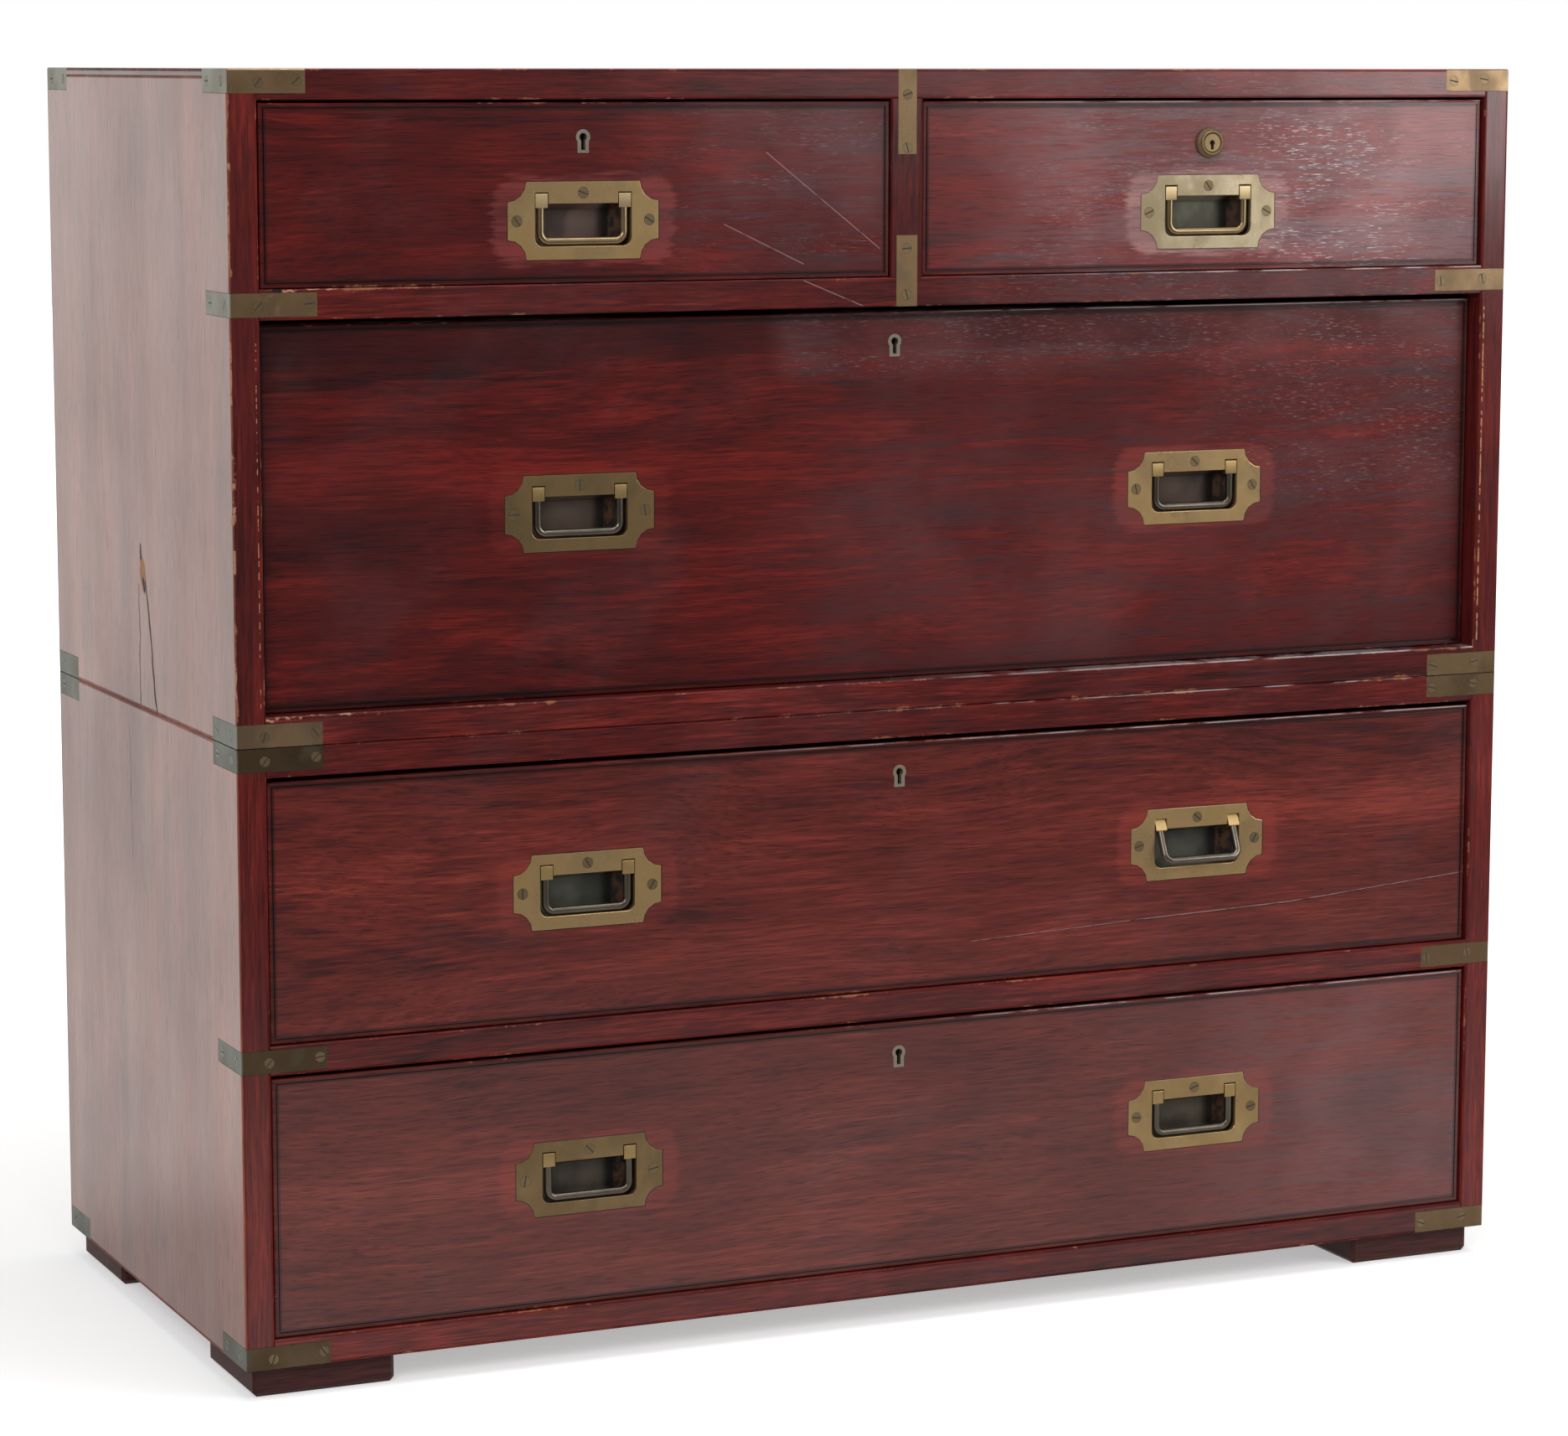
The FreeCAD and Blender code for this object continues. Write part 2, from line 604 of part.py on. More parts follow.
def lock_plug():
    """The turning plug of the round lock, with its key slot."""
    place = lock_place(BARREL_LOCKED)
    slot = keyhole(KEYHOLE_ROUND * 0.75, KEYHOLE_SLOT * 0.75, PLUG_DIAMETER / 3, PLUG_SLOT_DEPTH)
    return plug_space(BARREL_LOCKED, 0).cut(
        slot.translated(place - Vector(0, COLLAR_PROUD, 0)))


def lock(drawer):
    """The solids of one drawer's lock, without its moving bolt and plug."""
    body = lock_body(drawer).cut(bolt(drawer, BOLT_CLEARANCE))
    if drawer is BARREL_LOCKED:
        space = plug_space(drawer, PLUG_CLEARANCE)
        return [joined([body, barrel(drawer)]).cut(space)]
    return [body.cut(key_way(drawer)), escutcheon(drawer)]


def lock_pocket(drawer):
    """What is cut out of the front for the lock."""
    if drawer is BARREL_LOCKED:
        return [lock_body(drawer), sleeve(drawer)]
    return [lock_body(drawer), escutcheon_blank(drawer), key_way(drawer)]


# ---------------------------------------------------------------- flush pulls
# A pull is shaped about the middle of its plate: the plate's face at y = 0, depth along +Y.

def plate_blank():
    """The plate: a rectangle whose corners are scooped by quarter circles."""
    points = []
    for quarter, (side, end) in enumerate([(1, 1), (-1, 1), (-1, -1), (1, -1)]):
        corner = Vector(side * PLATE_WIDTH / 2, 0, end * PLATE_HEIGHT / 2)
        start = 270 + 90 * quarter
        points += arc_points(corner, PLATE_NOTCH, start, start - 90)
    return prism(points, Vector(0, PLATE_THICKNESS, 0))


def window(start, end):
    """The window's outline carried back from start to end, its two lower corners round."""
    low = WINDOW_BASE + CUP_CORNER
    points = [Vector(WINDOW_HALF, start, WINDOW_TOP), Vector(-WINDOW_HALF, start, WINDOW_TOP)]
    for side, turn in ((-1, 180), (1, 270)):
        middle = Vector(side * (WINDOW_HALF - CUP_CORNER), start, low)
        points += arc_points(middle, CUP_CORNER, turn, turn + 90)
    return prism(points, Vector(0, end - start, 0))


def closing_walls(grow, end):
    """The back of the cup: a block that narrows towards its floor on all four sides."""
    half, low, high = WINDOW_HALF + grow, WINDOW_BASE - grow, WINDOW_TOP + grow
    return Part.makeWedge(-half, CUP_STRAIGHT, low, low + CUP_TAPER_ENDS, -half + CUP_TAPER_SIDE,
                          half, end, high, high - CUP_TAPER_ENDS, half - CUP_TAPER_SIDE)


def cup_hollow():
    """Straight walls that then close in, open to the front."""
    behind = window(CUP_STRAIGHT, CUP_DEPTH).common(closing_walls(0, CUP_DEPTH))
    return joined([window(-1, CUP_STRAIGHT), behind])


def cup_outside():
    """The back of the casting: square behind the window, then closing in with the cup."""
    half = WINDOW_HALF + CUP_WALL
    straight = block((-half, half), (0, CUP_STRAIGHT),
                     (WINDOW_BASE - CUP_WALL, WINDOW_TOP + CUP_WALL))
    return joined([straight, closing_walls(CUP_WALL, CUP_DEPTH + CUP_WALL)])


def knuckle_sweep():
    """Farthest reach of a turning knuckle: above the pivot, and below it and behind."""
    half_y, half_z = KNUCKLE_DEPTH / 2, KNUCKLE_HEIGHT / 2
    bevel_corners = (math.hypot(half_y - KNUCKLE_BEVEL, half_z),
                     math.hypot(half_y, half_z - KNUCKLE_BEVEL))
    return max(bevel_corners), math.hypot(half_y, half_z)


KNUCKLE_SWING_GAP = 0.3
SWEEP_BEVELLED, SWEEP_SQUARE = knuckle_sweep()
POCKET_TOP = PIVOT_ABOVE_MIDDLE + SWEEP_BEVELLED + KNUCKLE_SWING_GAP
POCKET_BASE = PIVOT_ABOVE_MIDDLE - SWEEP_SQUARE - KNUCKLE_SWING_GAP
POCKET_DEPTH = PIVOT_Y + max(SWEEP_BEVELLED, KNUCKLE_HEIGHT / 2) + KNUCKLE_SWING_GAP


def knuckle_pocket(side, inner, outer, above, behind, front):
    """The square pocket that a knuckle turns in, grown by the given walls."""
    return block((side * (TONGUE_HALF - inner), side * (WINDOW_HALF + outer)),
                 (front, POCKET_DEPTH + behind), (POCKET_BASE - above, POCKET_TOP + above))


def pull_plate():
    """Plate and cup in one casting, its window notched for the bail's knuckles.

    The pins drop into seats from behind, and the drawer's wood keeps them there.
    """
    outside = [plate_blank(), cup_outside()]
    outside += [knuckle_pocket(side, CUP_WALL, PIVOT_BOSS, CUP_WALL, CUP_WALL, 0)
                for side in (-1, 1)]
    hollow = [cup_hollow()]
    hollow += [knuckle_pocket(side, 0, 0, 0, 0, -1) for side in (-1, 1)]
    half_seat = PIVOT_PIN / 2 + PIVOT_CLEARANCE
    hollow += [block((side * WINDOW_HALF, side * (WINDOW_HALF + PIVOT_REACH)),
                     (PIVOT_Y - half_seat, POCKET_DEPTH + CUP_WALL),
                     across(PIVOT_ABOVE_MIDDLE, 2 * half_seat)) for side in (-1, 1)]
    return joined(outside).cut(hollow)


def pull_pocket():
    """What is cut out of a drawer front for a pull."""
    half = WINDOW_HALF + PIVOT_BOSS + CUP_FIT
    well = block((-half, half), (0, CUP_DEPTH + CUP_WALL + CUP_FIT),
                 (WINDOW_BASE - CUP_WALL - CUP_FIT, POCKET_TOP + CUP_WALL + CUP_FIT))
    return [plate_blank(), well]


def bail_rod():
    """The bent rod, from one knuckle's pin down round the grip and up to the other's."""
    half = BAIL_SPAN / 2
    bend_x, bend_z = half - BAIL_BEND, PIVOT_ABOVE_MIDDLE - BAIL_DROP + BAIL_BEND
    top_left = Vector(-half, BAIL_MIDDLE_Y, PIVOT_ABOVE_MIDDLE)
    path = [top_left]
    path += arc_points(Vector(-bend_x, BAIL_MIDDLE_Y, bend_z), BAIL_BEND, 180, 270)
    path += arc_points(Vector(bend_x, BAIL_MIDDLE_Y, bend_z), BAIL_BEND, 270, 360)
    path.append(Vector(half, BAIL_MIDDLE_Y, PIVOT_ABOVE_MIDDLE))
    points = rod_outline(top_left, BAIL_ROD / 2)
    solid, frenet, mitred = True, False, 1
    outline = Part.makePolygon(points + points[:1])
    return Part.makePolygon(path).makePipeShell([outline], solid, frenet, mitred)


def knuckle(side):
    """A square knuckle, its top edges bevelled so that it can turn under the plate."""
    half = BAIL_SPAN / 2
    square = block(across(side * half, KNUCKLE_WIDTH), (0, KNUCKLE_DEPTH),
                   (KNUCKLE_BASE, KNUCKLE_TOP))
    return bevelled(square, KNUCKLE_BEVEL, lambda middle: near(middle.z, KNUCKLE_TOP)
                    and near(abs(middle.x), half))


def pivot_pin(side):
    """The pin that stands out of a knuckle's outer side."""
    half = BAIL_SPAN / 2
    reach = WINDOW_HALF + PIVOT_REACH - KNUCKLE_CLEARANCE - half
    middle = Vector(side * half, PIVOT_Y, PIVOT_ABOVE_MIDDLE)
    return Part.makeCylinder(PIVOT_PIN / 2, reach, middle, Vector(side, 0, 0))


def bail():
    """The handle hanging shut: a bent rod between two square knuckles on pins."""
    ends = [make(side) for side in (-1, 1) for make in (knuckle, pivot_pin)]
    return joined([bail_rod()] + ends)


def pull_place(drawer, x):
    return Vector(x, drawer.face, drawer.pull_z)


def bail_name(drawer, suffix):
    return drawer.name + "_bail" + suffix


def bail_pivot(drawer, x):
    """The middle of a bail's hinge line."""
    return pull_place(drawer, x) + Vector(0, PIVOT_Y, PIVOT_ABOVE_MIDDLE)


def placed_bail(drawer, suffix, x):
    handle = HANGING_BAIL.translated(pull_place(drawer, x))
    if bail_name(drawer, suffix) == STIFF_BAIL:
        handle.rotate(bail_pivot(drawer, x), Vector(-1, 0, 0), LIFTED_ANGLE)
    return handle


HANGING_BAIL = bail()
PULL_PLATE = pull_plate()
PULL_POCKET = pull_pocket()


# ---------------------------------------------------------------- drawers

def beaded_front(drawer):
    """The front board, with a bead run round its face inside a sunk quirk."""
    board = block(drawer.x, (drawer.face, drawer.inner_face), drawer.z)
    board = eased(board, BEAD_ROUND, lambda middle: near(middle.y, drawer.face))
    sunk = (drawer.face, drawer.face + QUIRK_DEPTH)

    def inset(by):
        return block((drawer.x[0] + by, drawer.x[1] - by), sunk,
                     (drawer.z[0] + by, drawer.z[1] - by))

    return board.cut(inset(BEAD_WIDTH).cut(inset(BEAD_WIDTH + QUIRK_WIDTH)))


def tails(x, root, tip, low, high):
    """Dovetails on a drawer side: their roots and tips in Y, spread from low to high."""
    count = max(2, round((high - low) / TAIL_PITCH))
    pitch = (high - low) / count
    tip_half = pitch / 2 - PIN_NARROW / 2
    root_half = tip_half - abs(tip - root) / TAIL_SLOPE
    pieces = []
    for row in range(count):
        middle = low + (row + 0.5) * pitch
        corners = [Vector(x[0], root, middle - root_half), Vector(x[0], tip, middle - tip_half),
                   Vector(x[0], tip, middle + tip_half), Vector(x[0], root, middle + root_half)]
        pieces.append(prism(corners, Vector(x[1] - x[0], 0, 0)))
    return pieces


def drawer_bottom(drawer):
    """The bottom board, grooved into the front and sides and running under the back."""
    inner = DRAWER_SIDE - BOTTOM_GROOVE
    return block((drawer.x[0] + inner, drawer.x[1] - inner),
                 (drawer.inner_face - BOTTOM_GROOVE, drawer.back),
                 (drawer.z[0] + BOTTOM_RAISE, drawer.bottom_top))


def left_tails(drawer):
    """The left side's tails into the front, and those through the back."""
    x = (drawer.x[0], drawer.x[0] + DRAWER_SIDE)
    front_tails = tails(x, drawer.inner_face, drawer.face + FRONT_LAP,
                        drawer.z[0], drawer.side_top)
    back_tails = tails(x, drawer.back - DRAWER_BACK, drawer.back,
                       drawer.bottom_top, drawer.side_top - BACK_DROP)
    return front_tails, back_tails


def to_other_end(shapes, drawer):
    """Mirror pieces from a drawer's left end to its right."""
    middle = Vector((drawer.x[0] + drawer.x[1]) / 2, 0, 0)
    return [shape.mirror(middle, Vector(1, 0, 0)) for shape in shapes]


def drawer_side(drawer):
    """The left side board with its two rows of tails."""
    front_tails, back_tails = left_tails(drawer)
    x = (drawer.x[0], drawer.x[0] + DRAWER_SIDE)
    inside_back = drawer.back - DRAWER_BACK
    board = block(x, (drawer.inner_face, inside_back), (drawer.z[0], drawer.side_top))
    heel = block(x, (inside_back, drawer.back), (drawer.z[0], drawer.bottom_top))
    return joined([board, heel] + front_tails + back_tails).cut(drawer_bottom(drawer))


def drawer_box(drawer):
    """Both sides and the back, dovetailed together."""
    side = drawer_side(drawer)
    back_tails = left_tails(drawer)[1]
    back = block(drawer.x, (drawer.back - DRAWER_BACK, drawer.back),
                 (drawer.bottom_top, drawer.side_top - BACK_DROP))
    back = back.cut(back_tails + to_other_end(back_tails, drawer))
    return [side] + to_other_end([side], drawer) + [back]


def drawer_front(drawer):
    """The front, socketed for the tails and cut for its bottom, pulls and lock."""
    sockets = left_tails(drawer)[0]
    sockets += to_other_end(sockets, drawer)
    fittings = lock_pocket(drawer)
    for x in drawer.pulls.values():
        fittings += [tool.translated(pull_place(drawer, x)) for tool in PULL_POCKET]
    return beaded_front(drawer).cut(sockets + [drawer_bottom(drawer)] + fittings)


# ---------------------------------------------------------------- the whole chest

def upper_case_nodes():
    rail = housed_board(UPPER_RAIL_BASE, FRONT + RAIL_DEPTH)
    floor = housed_board(UPPER_BASE, BACK_FACE)
    running = runners(UPPER_RAIL_BASE, True)
    divider = drawer_divider()
    plates = divider_plates()
    brass = UPPER_POCKETS + plates
    side = case_side(UPPER_BASE, SIDE_TOP, [rail, floor] + running, UPPER_POCKETS)
    top = top_board().cut([divider, mortise(TOP_LEFT), mortise(TOP_RIGHT)])
    return {
        "upper_side_left": [side],
        "upper_side_right": [mirrored(side)],
        "top_board": [cut_by(top, brass)],
        "upper_mid_rail": [cut_by(rail.cut([divider, mortise(DEEP)]), brass)],
        "upper_bottom_board": [cut_by(floor.cut(peg_sockets()), brass)],
        "drawer_divider": [divider.cut(plates)],
        "upper_runners_and_stops": running + stops(UPPER_DRAWERS),
        "upper_back_boards": [cut_by(board, brass) for board in back_boards(UPPER_BASE, SIDE_TOP)],
        "upper_corner_straps": upper_corner_straps(),
        "divider_plates": plates,
    }


def lower_case_nodes():
    top = housed_board(LOWER_TOP_BASE, BACK_FACE)
    rail = housed_board(LOWER_RAIL_BASE, FRONT + RAIL_DEPTH)
    floor = housed_board(LOWER_BASE, BACK_FACE)
    running = runners(LOWER_RAIL_BASE, False)
    side = case_side(LOWER_BASE, LOWER_TOP, [top, rail, floor] + running, LOWER_POCKETS)
    pins = pegs()
    return {
        "lower_side_left": [side],
        "lower_side_right": [mirrored(side)],
        "lower_top_board": [cut_by(top.cut(pins + [mortise(MIDDLE)]), LOWER_POCKETS)],
        "lower_mid_rail": [cut_by(rail.cut(mortise(BOTTOM)), LOWER_POCKETS)],
        "lower_bottom_board": [cut_by(floor, LOWER_POCKETS)],
        "lower_runners_and_stops": running + stops(LOWER_DRAWERS),
        "lower_back_boards": [cut_by(board, LOWER_POCKETS)
                              for board in back_boards(LOWER_BASE, LOWER_TOP)],
        "lower_corner_straps": lower_corner_straps(),
        "block_feet": [foot_block(side, end) for side, end in CORNERS],
        "locating_pegs": pins,
    }


def drawer_nodes(drawer):
    plates = [PULL_PLATE.translated(pull_place(drawer, x)) for x in drawer.pulls.values()]
    nodes = {
        drawer.name + "_front": [drawer_front(drawer)],
        drawer.name + "_box": drawer_box(drawer),
        drawer.name + "_bottom": [drawer_bottom(drawer)],
        drawer.name + "_pull_plates": plates,
        drawer.name + "_lock": lock(drawer),
        drawer.name + "_bolt": [bolt(drawer, 0)],
    }
    for suffix, x in drawer.pulls.items():
        nodes[bail_name(drawer, suffix)] = [placed_bail(drawer, suffix, x)]
    return nodes


def all_nodes():
    nodes = {}
    nodes.update(upper_case_nodes())
    nodes.update(lower_case_nodes())
    for drawer in DRAWERS:
        nodes.update(drawer_nodes(drawer))
    nodes[BARREL_LOCKED.name + "_lock_plug"] = [lock_plug()]
    return nodes


def main():
    os.makedirs("parts", exist_ok=True)
    nodes = all_nodes()
    for name, solids in nodes.items():
        shape = solids[0] if len(solids) == 1 else Part.Compound(solids)
        shape.exportStep("parts/" + name + ".step")
        print(name, "solids", len(shape.Solids), "valid", shape.isValid(),
              "volume cm3", round(shape.Volume / 1000, 2))
    print(len(nodes), "nodes, height", round(TOP, 2))


main()
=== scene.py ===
# %% [markdown]
# # Dressing a campaign chest
# A campaign chest is an officer's travelling chest of drawers: two cases that lift apart, five
# drawers, brass straps let into every corner, and pulls that lie flush so nothing catches.
# The cases, drawers and plates come in as finished solids, in metres. This lesson keeps them and
# gives them their wood and brass, and it makes here what solids leave coarse: the worn edges of
# the pull plates, the bails, the screws and the collar of the round lock.

# %% Load the solids
import math

import bmesh
import bpy
from mathutils import Matrix, Vector


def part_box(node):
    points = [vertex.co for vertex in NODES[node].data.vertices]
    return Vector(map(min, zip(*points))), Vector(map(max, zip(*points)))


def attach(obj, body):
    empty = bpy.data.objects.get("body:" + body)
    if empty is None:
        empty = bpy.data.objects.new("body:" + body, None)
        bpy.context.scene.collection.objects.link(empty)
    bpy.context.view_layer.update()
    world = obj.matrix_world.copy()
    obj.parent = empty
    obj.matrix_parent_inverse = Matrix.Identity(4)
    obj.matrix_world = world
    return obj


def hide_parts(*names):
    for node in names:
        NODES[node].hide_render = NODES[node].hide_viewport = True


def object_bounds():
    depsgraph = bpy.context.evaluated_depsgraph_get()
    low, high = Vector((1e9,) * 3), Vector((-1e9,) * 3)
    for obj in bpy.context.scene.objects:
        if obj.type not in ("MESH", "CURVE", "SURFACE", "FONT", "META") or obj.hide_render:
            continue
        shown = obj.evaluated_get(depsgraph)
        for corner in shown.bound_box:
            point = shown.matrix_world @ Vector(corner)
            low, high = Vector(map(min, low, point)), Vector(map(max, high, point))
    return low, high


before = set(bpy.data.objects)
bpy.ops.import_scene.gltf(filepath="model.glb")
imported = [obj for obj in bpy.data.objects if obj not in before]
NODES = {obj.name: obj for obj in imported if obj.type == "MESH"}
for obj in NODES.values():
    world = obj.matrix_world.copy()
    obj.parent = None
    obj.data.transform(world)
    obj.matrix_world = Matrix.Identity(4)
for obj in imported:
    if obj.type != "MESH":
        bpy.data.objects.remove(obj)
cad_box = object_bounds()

MM = 0.001
print("solids:", len(NODES), "box:", [tuple(round(v, 4) for v in corner) for corner in cad_box])


# %% [markdown]
# ## A pen for node trees
# Materials and Geometry Nodes are both graphs. They could be clicked together by hand, but a
# script is easier to read when each line adds one node and returns what comes out of it. The
# small class below does that: every call places a node, plugs in what it is given and hands back
# the first output, so trees read like sums.

# %% The pen
class Pen:
    def __init__(self, tree):
        self.tree = tree

    def node(self, kind, **settings):
        made = self.tree.nodes.new(kind)
        for key, value in settings.items():
            setattr(made, key, value)
        return made

    def feed(self, socket, value):
        """Links a socket or sets its number; a colour of three numbers is made opaque."""
        if isinstance(value, bpy.types.NodeSocket):
            self.tree.links.new(value, socket)
        elif value is not None:
            bare_colour = socket.type == "RGBA" and len(value) == 3
            socket.default_value = (*value, 1) if bare_colour else value

    def put(self, kind, inputs, out=0, **settings):
        """Adds a node, fills its inputs by name or number, and returns one output."""
        made = self.node(kind, **settings)
        for key, value in inputs.items():
            self.feed(made.inputs[key], value)
        return made.outputs[out]

    def sum(self, operation, *values, clamp=False):
        return self.put("ShaderNodeMath", dict(enumerate(values)), operation=operation,
                        use_clamp=clamp)

    def fold(self, operation, values):
        """Carries one operation through a row of values."""
        result = values[0]
        for value in values[1:]:
            result = self.sum(operation, result, value)
        return result

    def plus(self, *values):
        return self.fold("ADD", values)

    def minus(self, first, second):
        return self.sum("SUBTRACT", first, second)

    def times(self, *values):
        return self.fold("MULTIPLY", values)

    def xyz(self, x=0.0, y=0.0, z=0.0):
        return self.put("ShaderNodeCombineXYZ", {0: x, 1: y, 2: z})


# %% Sums for shader trees
class ShaderPen(Pen):
    # the sockets of a Mix node, by what it mixes: first input, second input, output
    MIX_SOCKETS = {"FLOAT": (2, 3, 0), "VECTOR": (4, 5, 1), "RGBA": (6, 7, 2)}
    BUMP_DEPTH = 0.2 * MM

    def vector(self, operation, *values, out=0):
        return self.put("ShaderNodeVectorMath", dict(enumerate(values)), out, operation=operation)

    def scaled(self, vector, factor):
        return self.put("ShaderNodeVectorMath", {0: vector, "Scale": factor}, operation="SCALE")

    def part(self, vector, axis):
        return self.put("ShaderNodeSeparateXYZ", {0: vector}, axis)

    def fade(self, value, start, end, low=0.0, high=1.0):
        """Goes smoothly from low to high while value goes from start to end."""
        inputs = {"Value": value, "From Min": start, "From Max": end, "To Min": low, "To Max": high}
        return self.put("ShaderNodeMapRange", inputs, interpolation_type="SMOOTHSTEP")

    def within(self, away, near, far):
        """A mask that is full up to a near distance and gone at a far one."""
        return self.fade(away, near, far, 1.0, 0.0)

    def mix(self, share, first, second, kind="RGBA"):
        """Two colours, numbers or vectors mixed by share."""
        one, other, out = self.MIX_SOCKETS[kind]
        return self.put("ShaderNodeMix", {0: share, one: first, other: second}, out, data_type=kind)

    def noise(self, place, stretch, detail=2.0, roughness=0.5, distortion=0.0):
        """Noise whose patches are 1/stretch metres long along each axis."""
        inputs = {"Vector": self.vector("MULTIPLY", place, stretch), "Scale": 1.0, "Detail": detail,
                  "Roughness": roughness, "Distortion": distortion}
        return self.put("ShaderNodeTexNoise", inputs)

    def group(self, tree, **inputs):
        return self.put("ShaderNodeGroup", inputs, node_tree=tree)

    def attribute(self, name):
        return self.put("ShaderNodeAttribute", {}, "Fac", attribute_name=name)

    def bump(self, height, strength):
        inputs = {"Strength": strength, "Distance": self.BUMP_DEPTH, "Height": height}
        return self.put("ShaderNodeBump", inputs)

    def all_of(self, *masks):
        return self.fold("MULTIPLY", masks)

    def any_of(self, *masks):
        return self.fold("MAXIMUM", masks)

    def none_of(self, mask):
        return self.minus(1.0, mask)


def new_group(name, inputs, outputs, kind="ShaderNodeTree"):
    """A node group with named sockets: the tree, what it is given and what it returns."""
    tree = bpy.data.node_groups.new(name, kind)
    for label, socket, value in inputs:
        made = tree.interface.new_socket(label, in_out="INPUT", socket_type=f"NodeSocket{socket}")
        if value is not None:
            made.default_value = value
    for label, socket in outputs:
        tree.interface.new_socket(label, in_out="OUTPUT", socket_type=f"NodeSocket{socket}")
    return tree, tree.nodes.new("NodeGroupInput").outputs, tree.nodes.new("NodeGroupOutput").inputs


# %% [markdown]
# ## Sawn mahogany as a node group
# Mahogany is dark red with wide soft bands, fine streaks and open pores that show as short dark
# dashes along the grain. An image of a board would repeat and would need unwrapping. A noise
# stretched along one axis is a board all the way through, so end grain and long grain agree.
# The group takes a place with X along the grain; each board gets its own seed, as from another
# plank. Each layer is one noise: the wander of the grain, bands, flames, streaks, fibres, rings
# and pores.

# %% The board group
# patches to a metre of each layer, along the grain and across it
WANDER, BANDS, FLAMES = (2.2, 5, 5), (1.3, 15, 15), (5, 34, 34)
STREAKS, FIBRES, PORES = (14, 360, 360), (45, 1000, 1000), (42, 1300, 1300)
RING_FIELD, RING_PLACES = (1.6, 13, 13), (1.1, 7, 7)
RING_COUNT, RING_DEPTH, PORE_DEPTH = 75, 0.09, 0.42


def make_board_group():
    tree, given, result = new_group(
        "sawn_board",
        [("Place", "Vector", None), ("Seed", "Float", 0.0), ("Bands", "Float", 0.4),
         ("Sway", "Float", 0.02), ("Rings", "Float", 1.0), ("Dark", "Color", None),
         ("Middle", "Color", None), ("Light", "Color", None)],
        [("Colour", "Color"), ("Pores", "Float"), ("Height", "Float"), ("Figure", "Float")])
    pen = ShaderPen(tree)
    seed = pen.xyz(given["Seed"], given["Seed"], given["Seed"])
    place = pen.vector("ADD", given["Place"], pen.vector("MULTIPLY", seed, (3.1, 7.7, 1.3)))
    shift = pen.times(pen.minus(pen.noise(place, WANDER, 2), 0.5), given["Sway"])
    place = pen.vector("ADD", place, pen.xyz(0.0, shift, shift))
    bands = pen.noise(place, BANDS, 3, 0.5, 0.4)
    flames = pen.noise(place, FLAMES, 3, 0.6, 0.3)
    streaks = pen.noise(place, STREAKS, 2, 0.5)
    fibres = pen.noise(place, FIBRES, 3, 0.6)
    wide = pen.mix(0.5, bands, flames, "FLOAT")
    fine = pen.mix(0.5, streaks, fibres, "FLOAT")
    figure = pen.mix(given["Bands"], fine, wide, "FLOAT")
    # year rings cut lengthwise are contour lines of a smooth noise, in places only
    rings = pen.times(pen.noise(place, RING_FIELD, 0.5), RING_COUNT)
    rings = pen.sum("SINE", pen.plus(rings, pen.times(streaks, 5.0)))
    where = pen.fade(pen.noise(place, RING_PLACES, 1), 0.42, 0.60, 0.1, 1.0)
    rings = pen.all_of(pen.fade(rings, 0.1, 0.95), where, given["Rings"])
    figure = pen.minus(figure, pen.times(rings, RING_DEPTH))
    lower = pen.mix(pen.fade(figure, 0.37, 0.51), given["Dark"], given["Middle"])
    colour = pen.mix(pen.fade(figure, 0.49, 0.64), lower, given["Light"])
    pores = pen.fade(pen.noise(place, PORES, 1.5), 0.54, 0.66)
    pen.feed(result["Colour"], pen.scaled(colour, pen.none_of(pen.times(pores, PORE_DEPTH))))
    pen.feed(result["Pores"], pores)
    pen.feed(result["Figure"], figure)
    pen.feed(result["Height"], pen.minus(pen.times(fibres, 0.3), pores))
    return tree


BOARD = make_board_group()
print("board group:", len(BOARD.nodes), "nodes")


# %% [markdown]
# ## Where wear falls
# Wear isn't spread evenly: arrises rub through to pale wood, polish stays light round a brass
# plate where the rag can't reach, and a scratch is a line. Each of these is a distance: to the
# nearest arris, to a plate's outline, or to a segment. Three little groups measure them from the
# Object coordinates, which stay put when a drawer slides.

# %% Distance to the nearest arris of a box
def make_arris_group():
    tree, given, result = new_group(
        "arris_distance", [("Place", "Vector", None), ("Low", "Vector", (0, 0, 0)),
                           ("High", "Vector", (1, 1, 1))], [("Distance", "Float")])
    pen = ShaderPen(tree)
    below = pen.vector("SUBTRACT", given["Place"], given["Low"])
    above = pen.vector("SUBTRACT", given["High"], given["Place"])
    gap = pen.vector("MINIMUM", pen.vector("ABSOLUTE", below), pen.vector("ABSOLUTE", above))
    x, y, z = (pen.part(gap, axis) for axis in range(3))
    # the middle one of the three gaps: the smallest is zero on the skin itself
    middle = pen.sum("MAXIMUM", pen.sum("MINIMUM", x, y),
                     pen.sum("MINIMUM", pen.sum("MAXIMUM", x, y), z))
    pen.feed(result["Distance"], middle)
    return tree


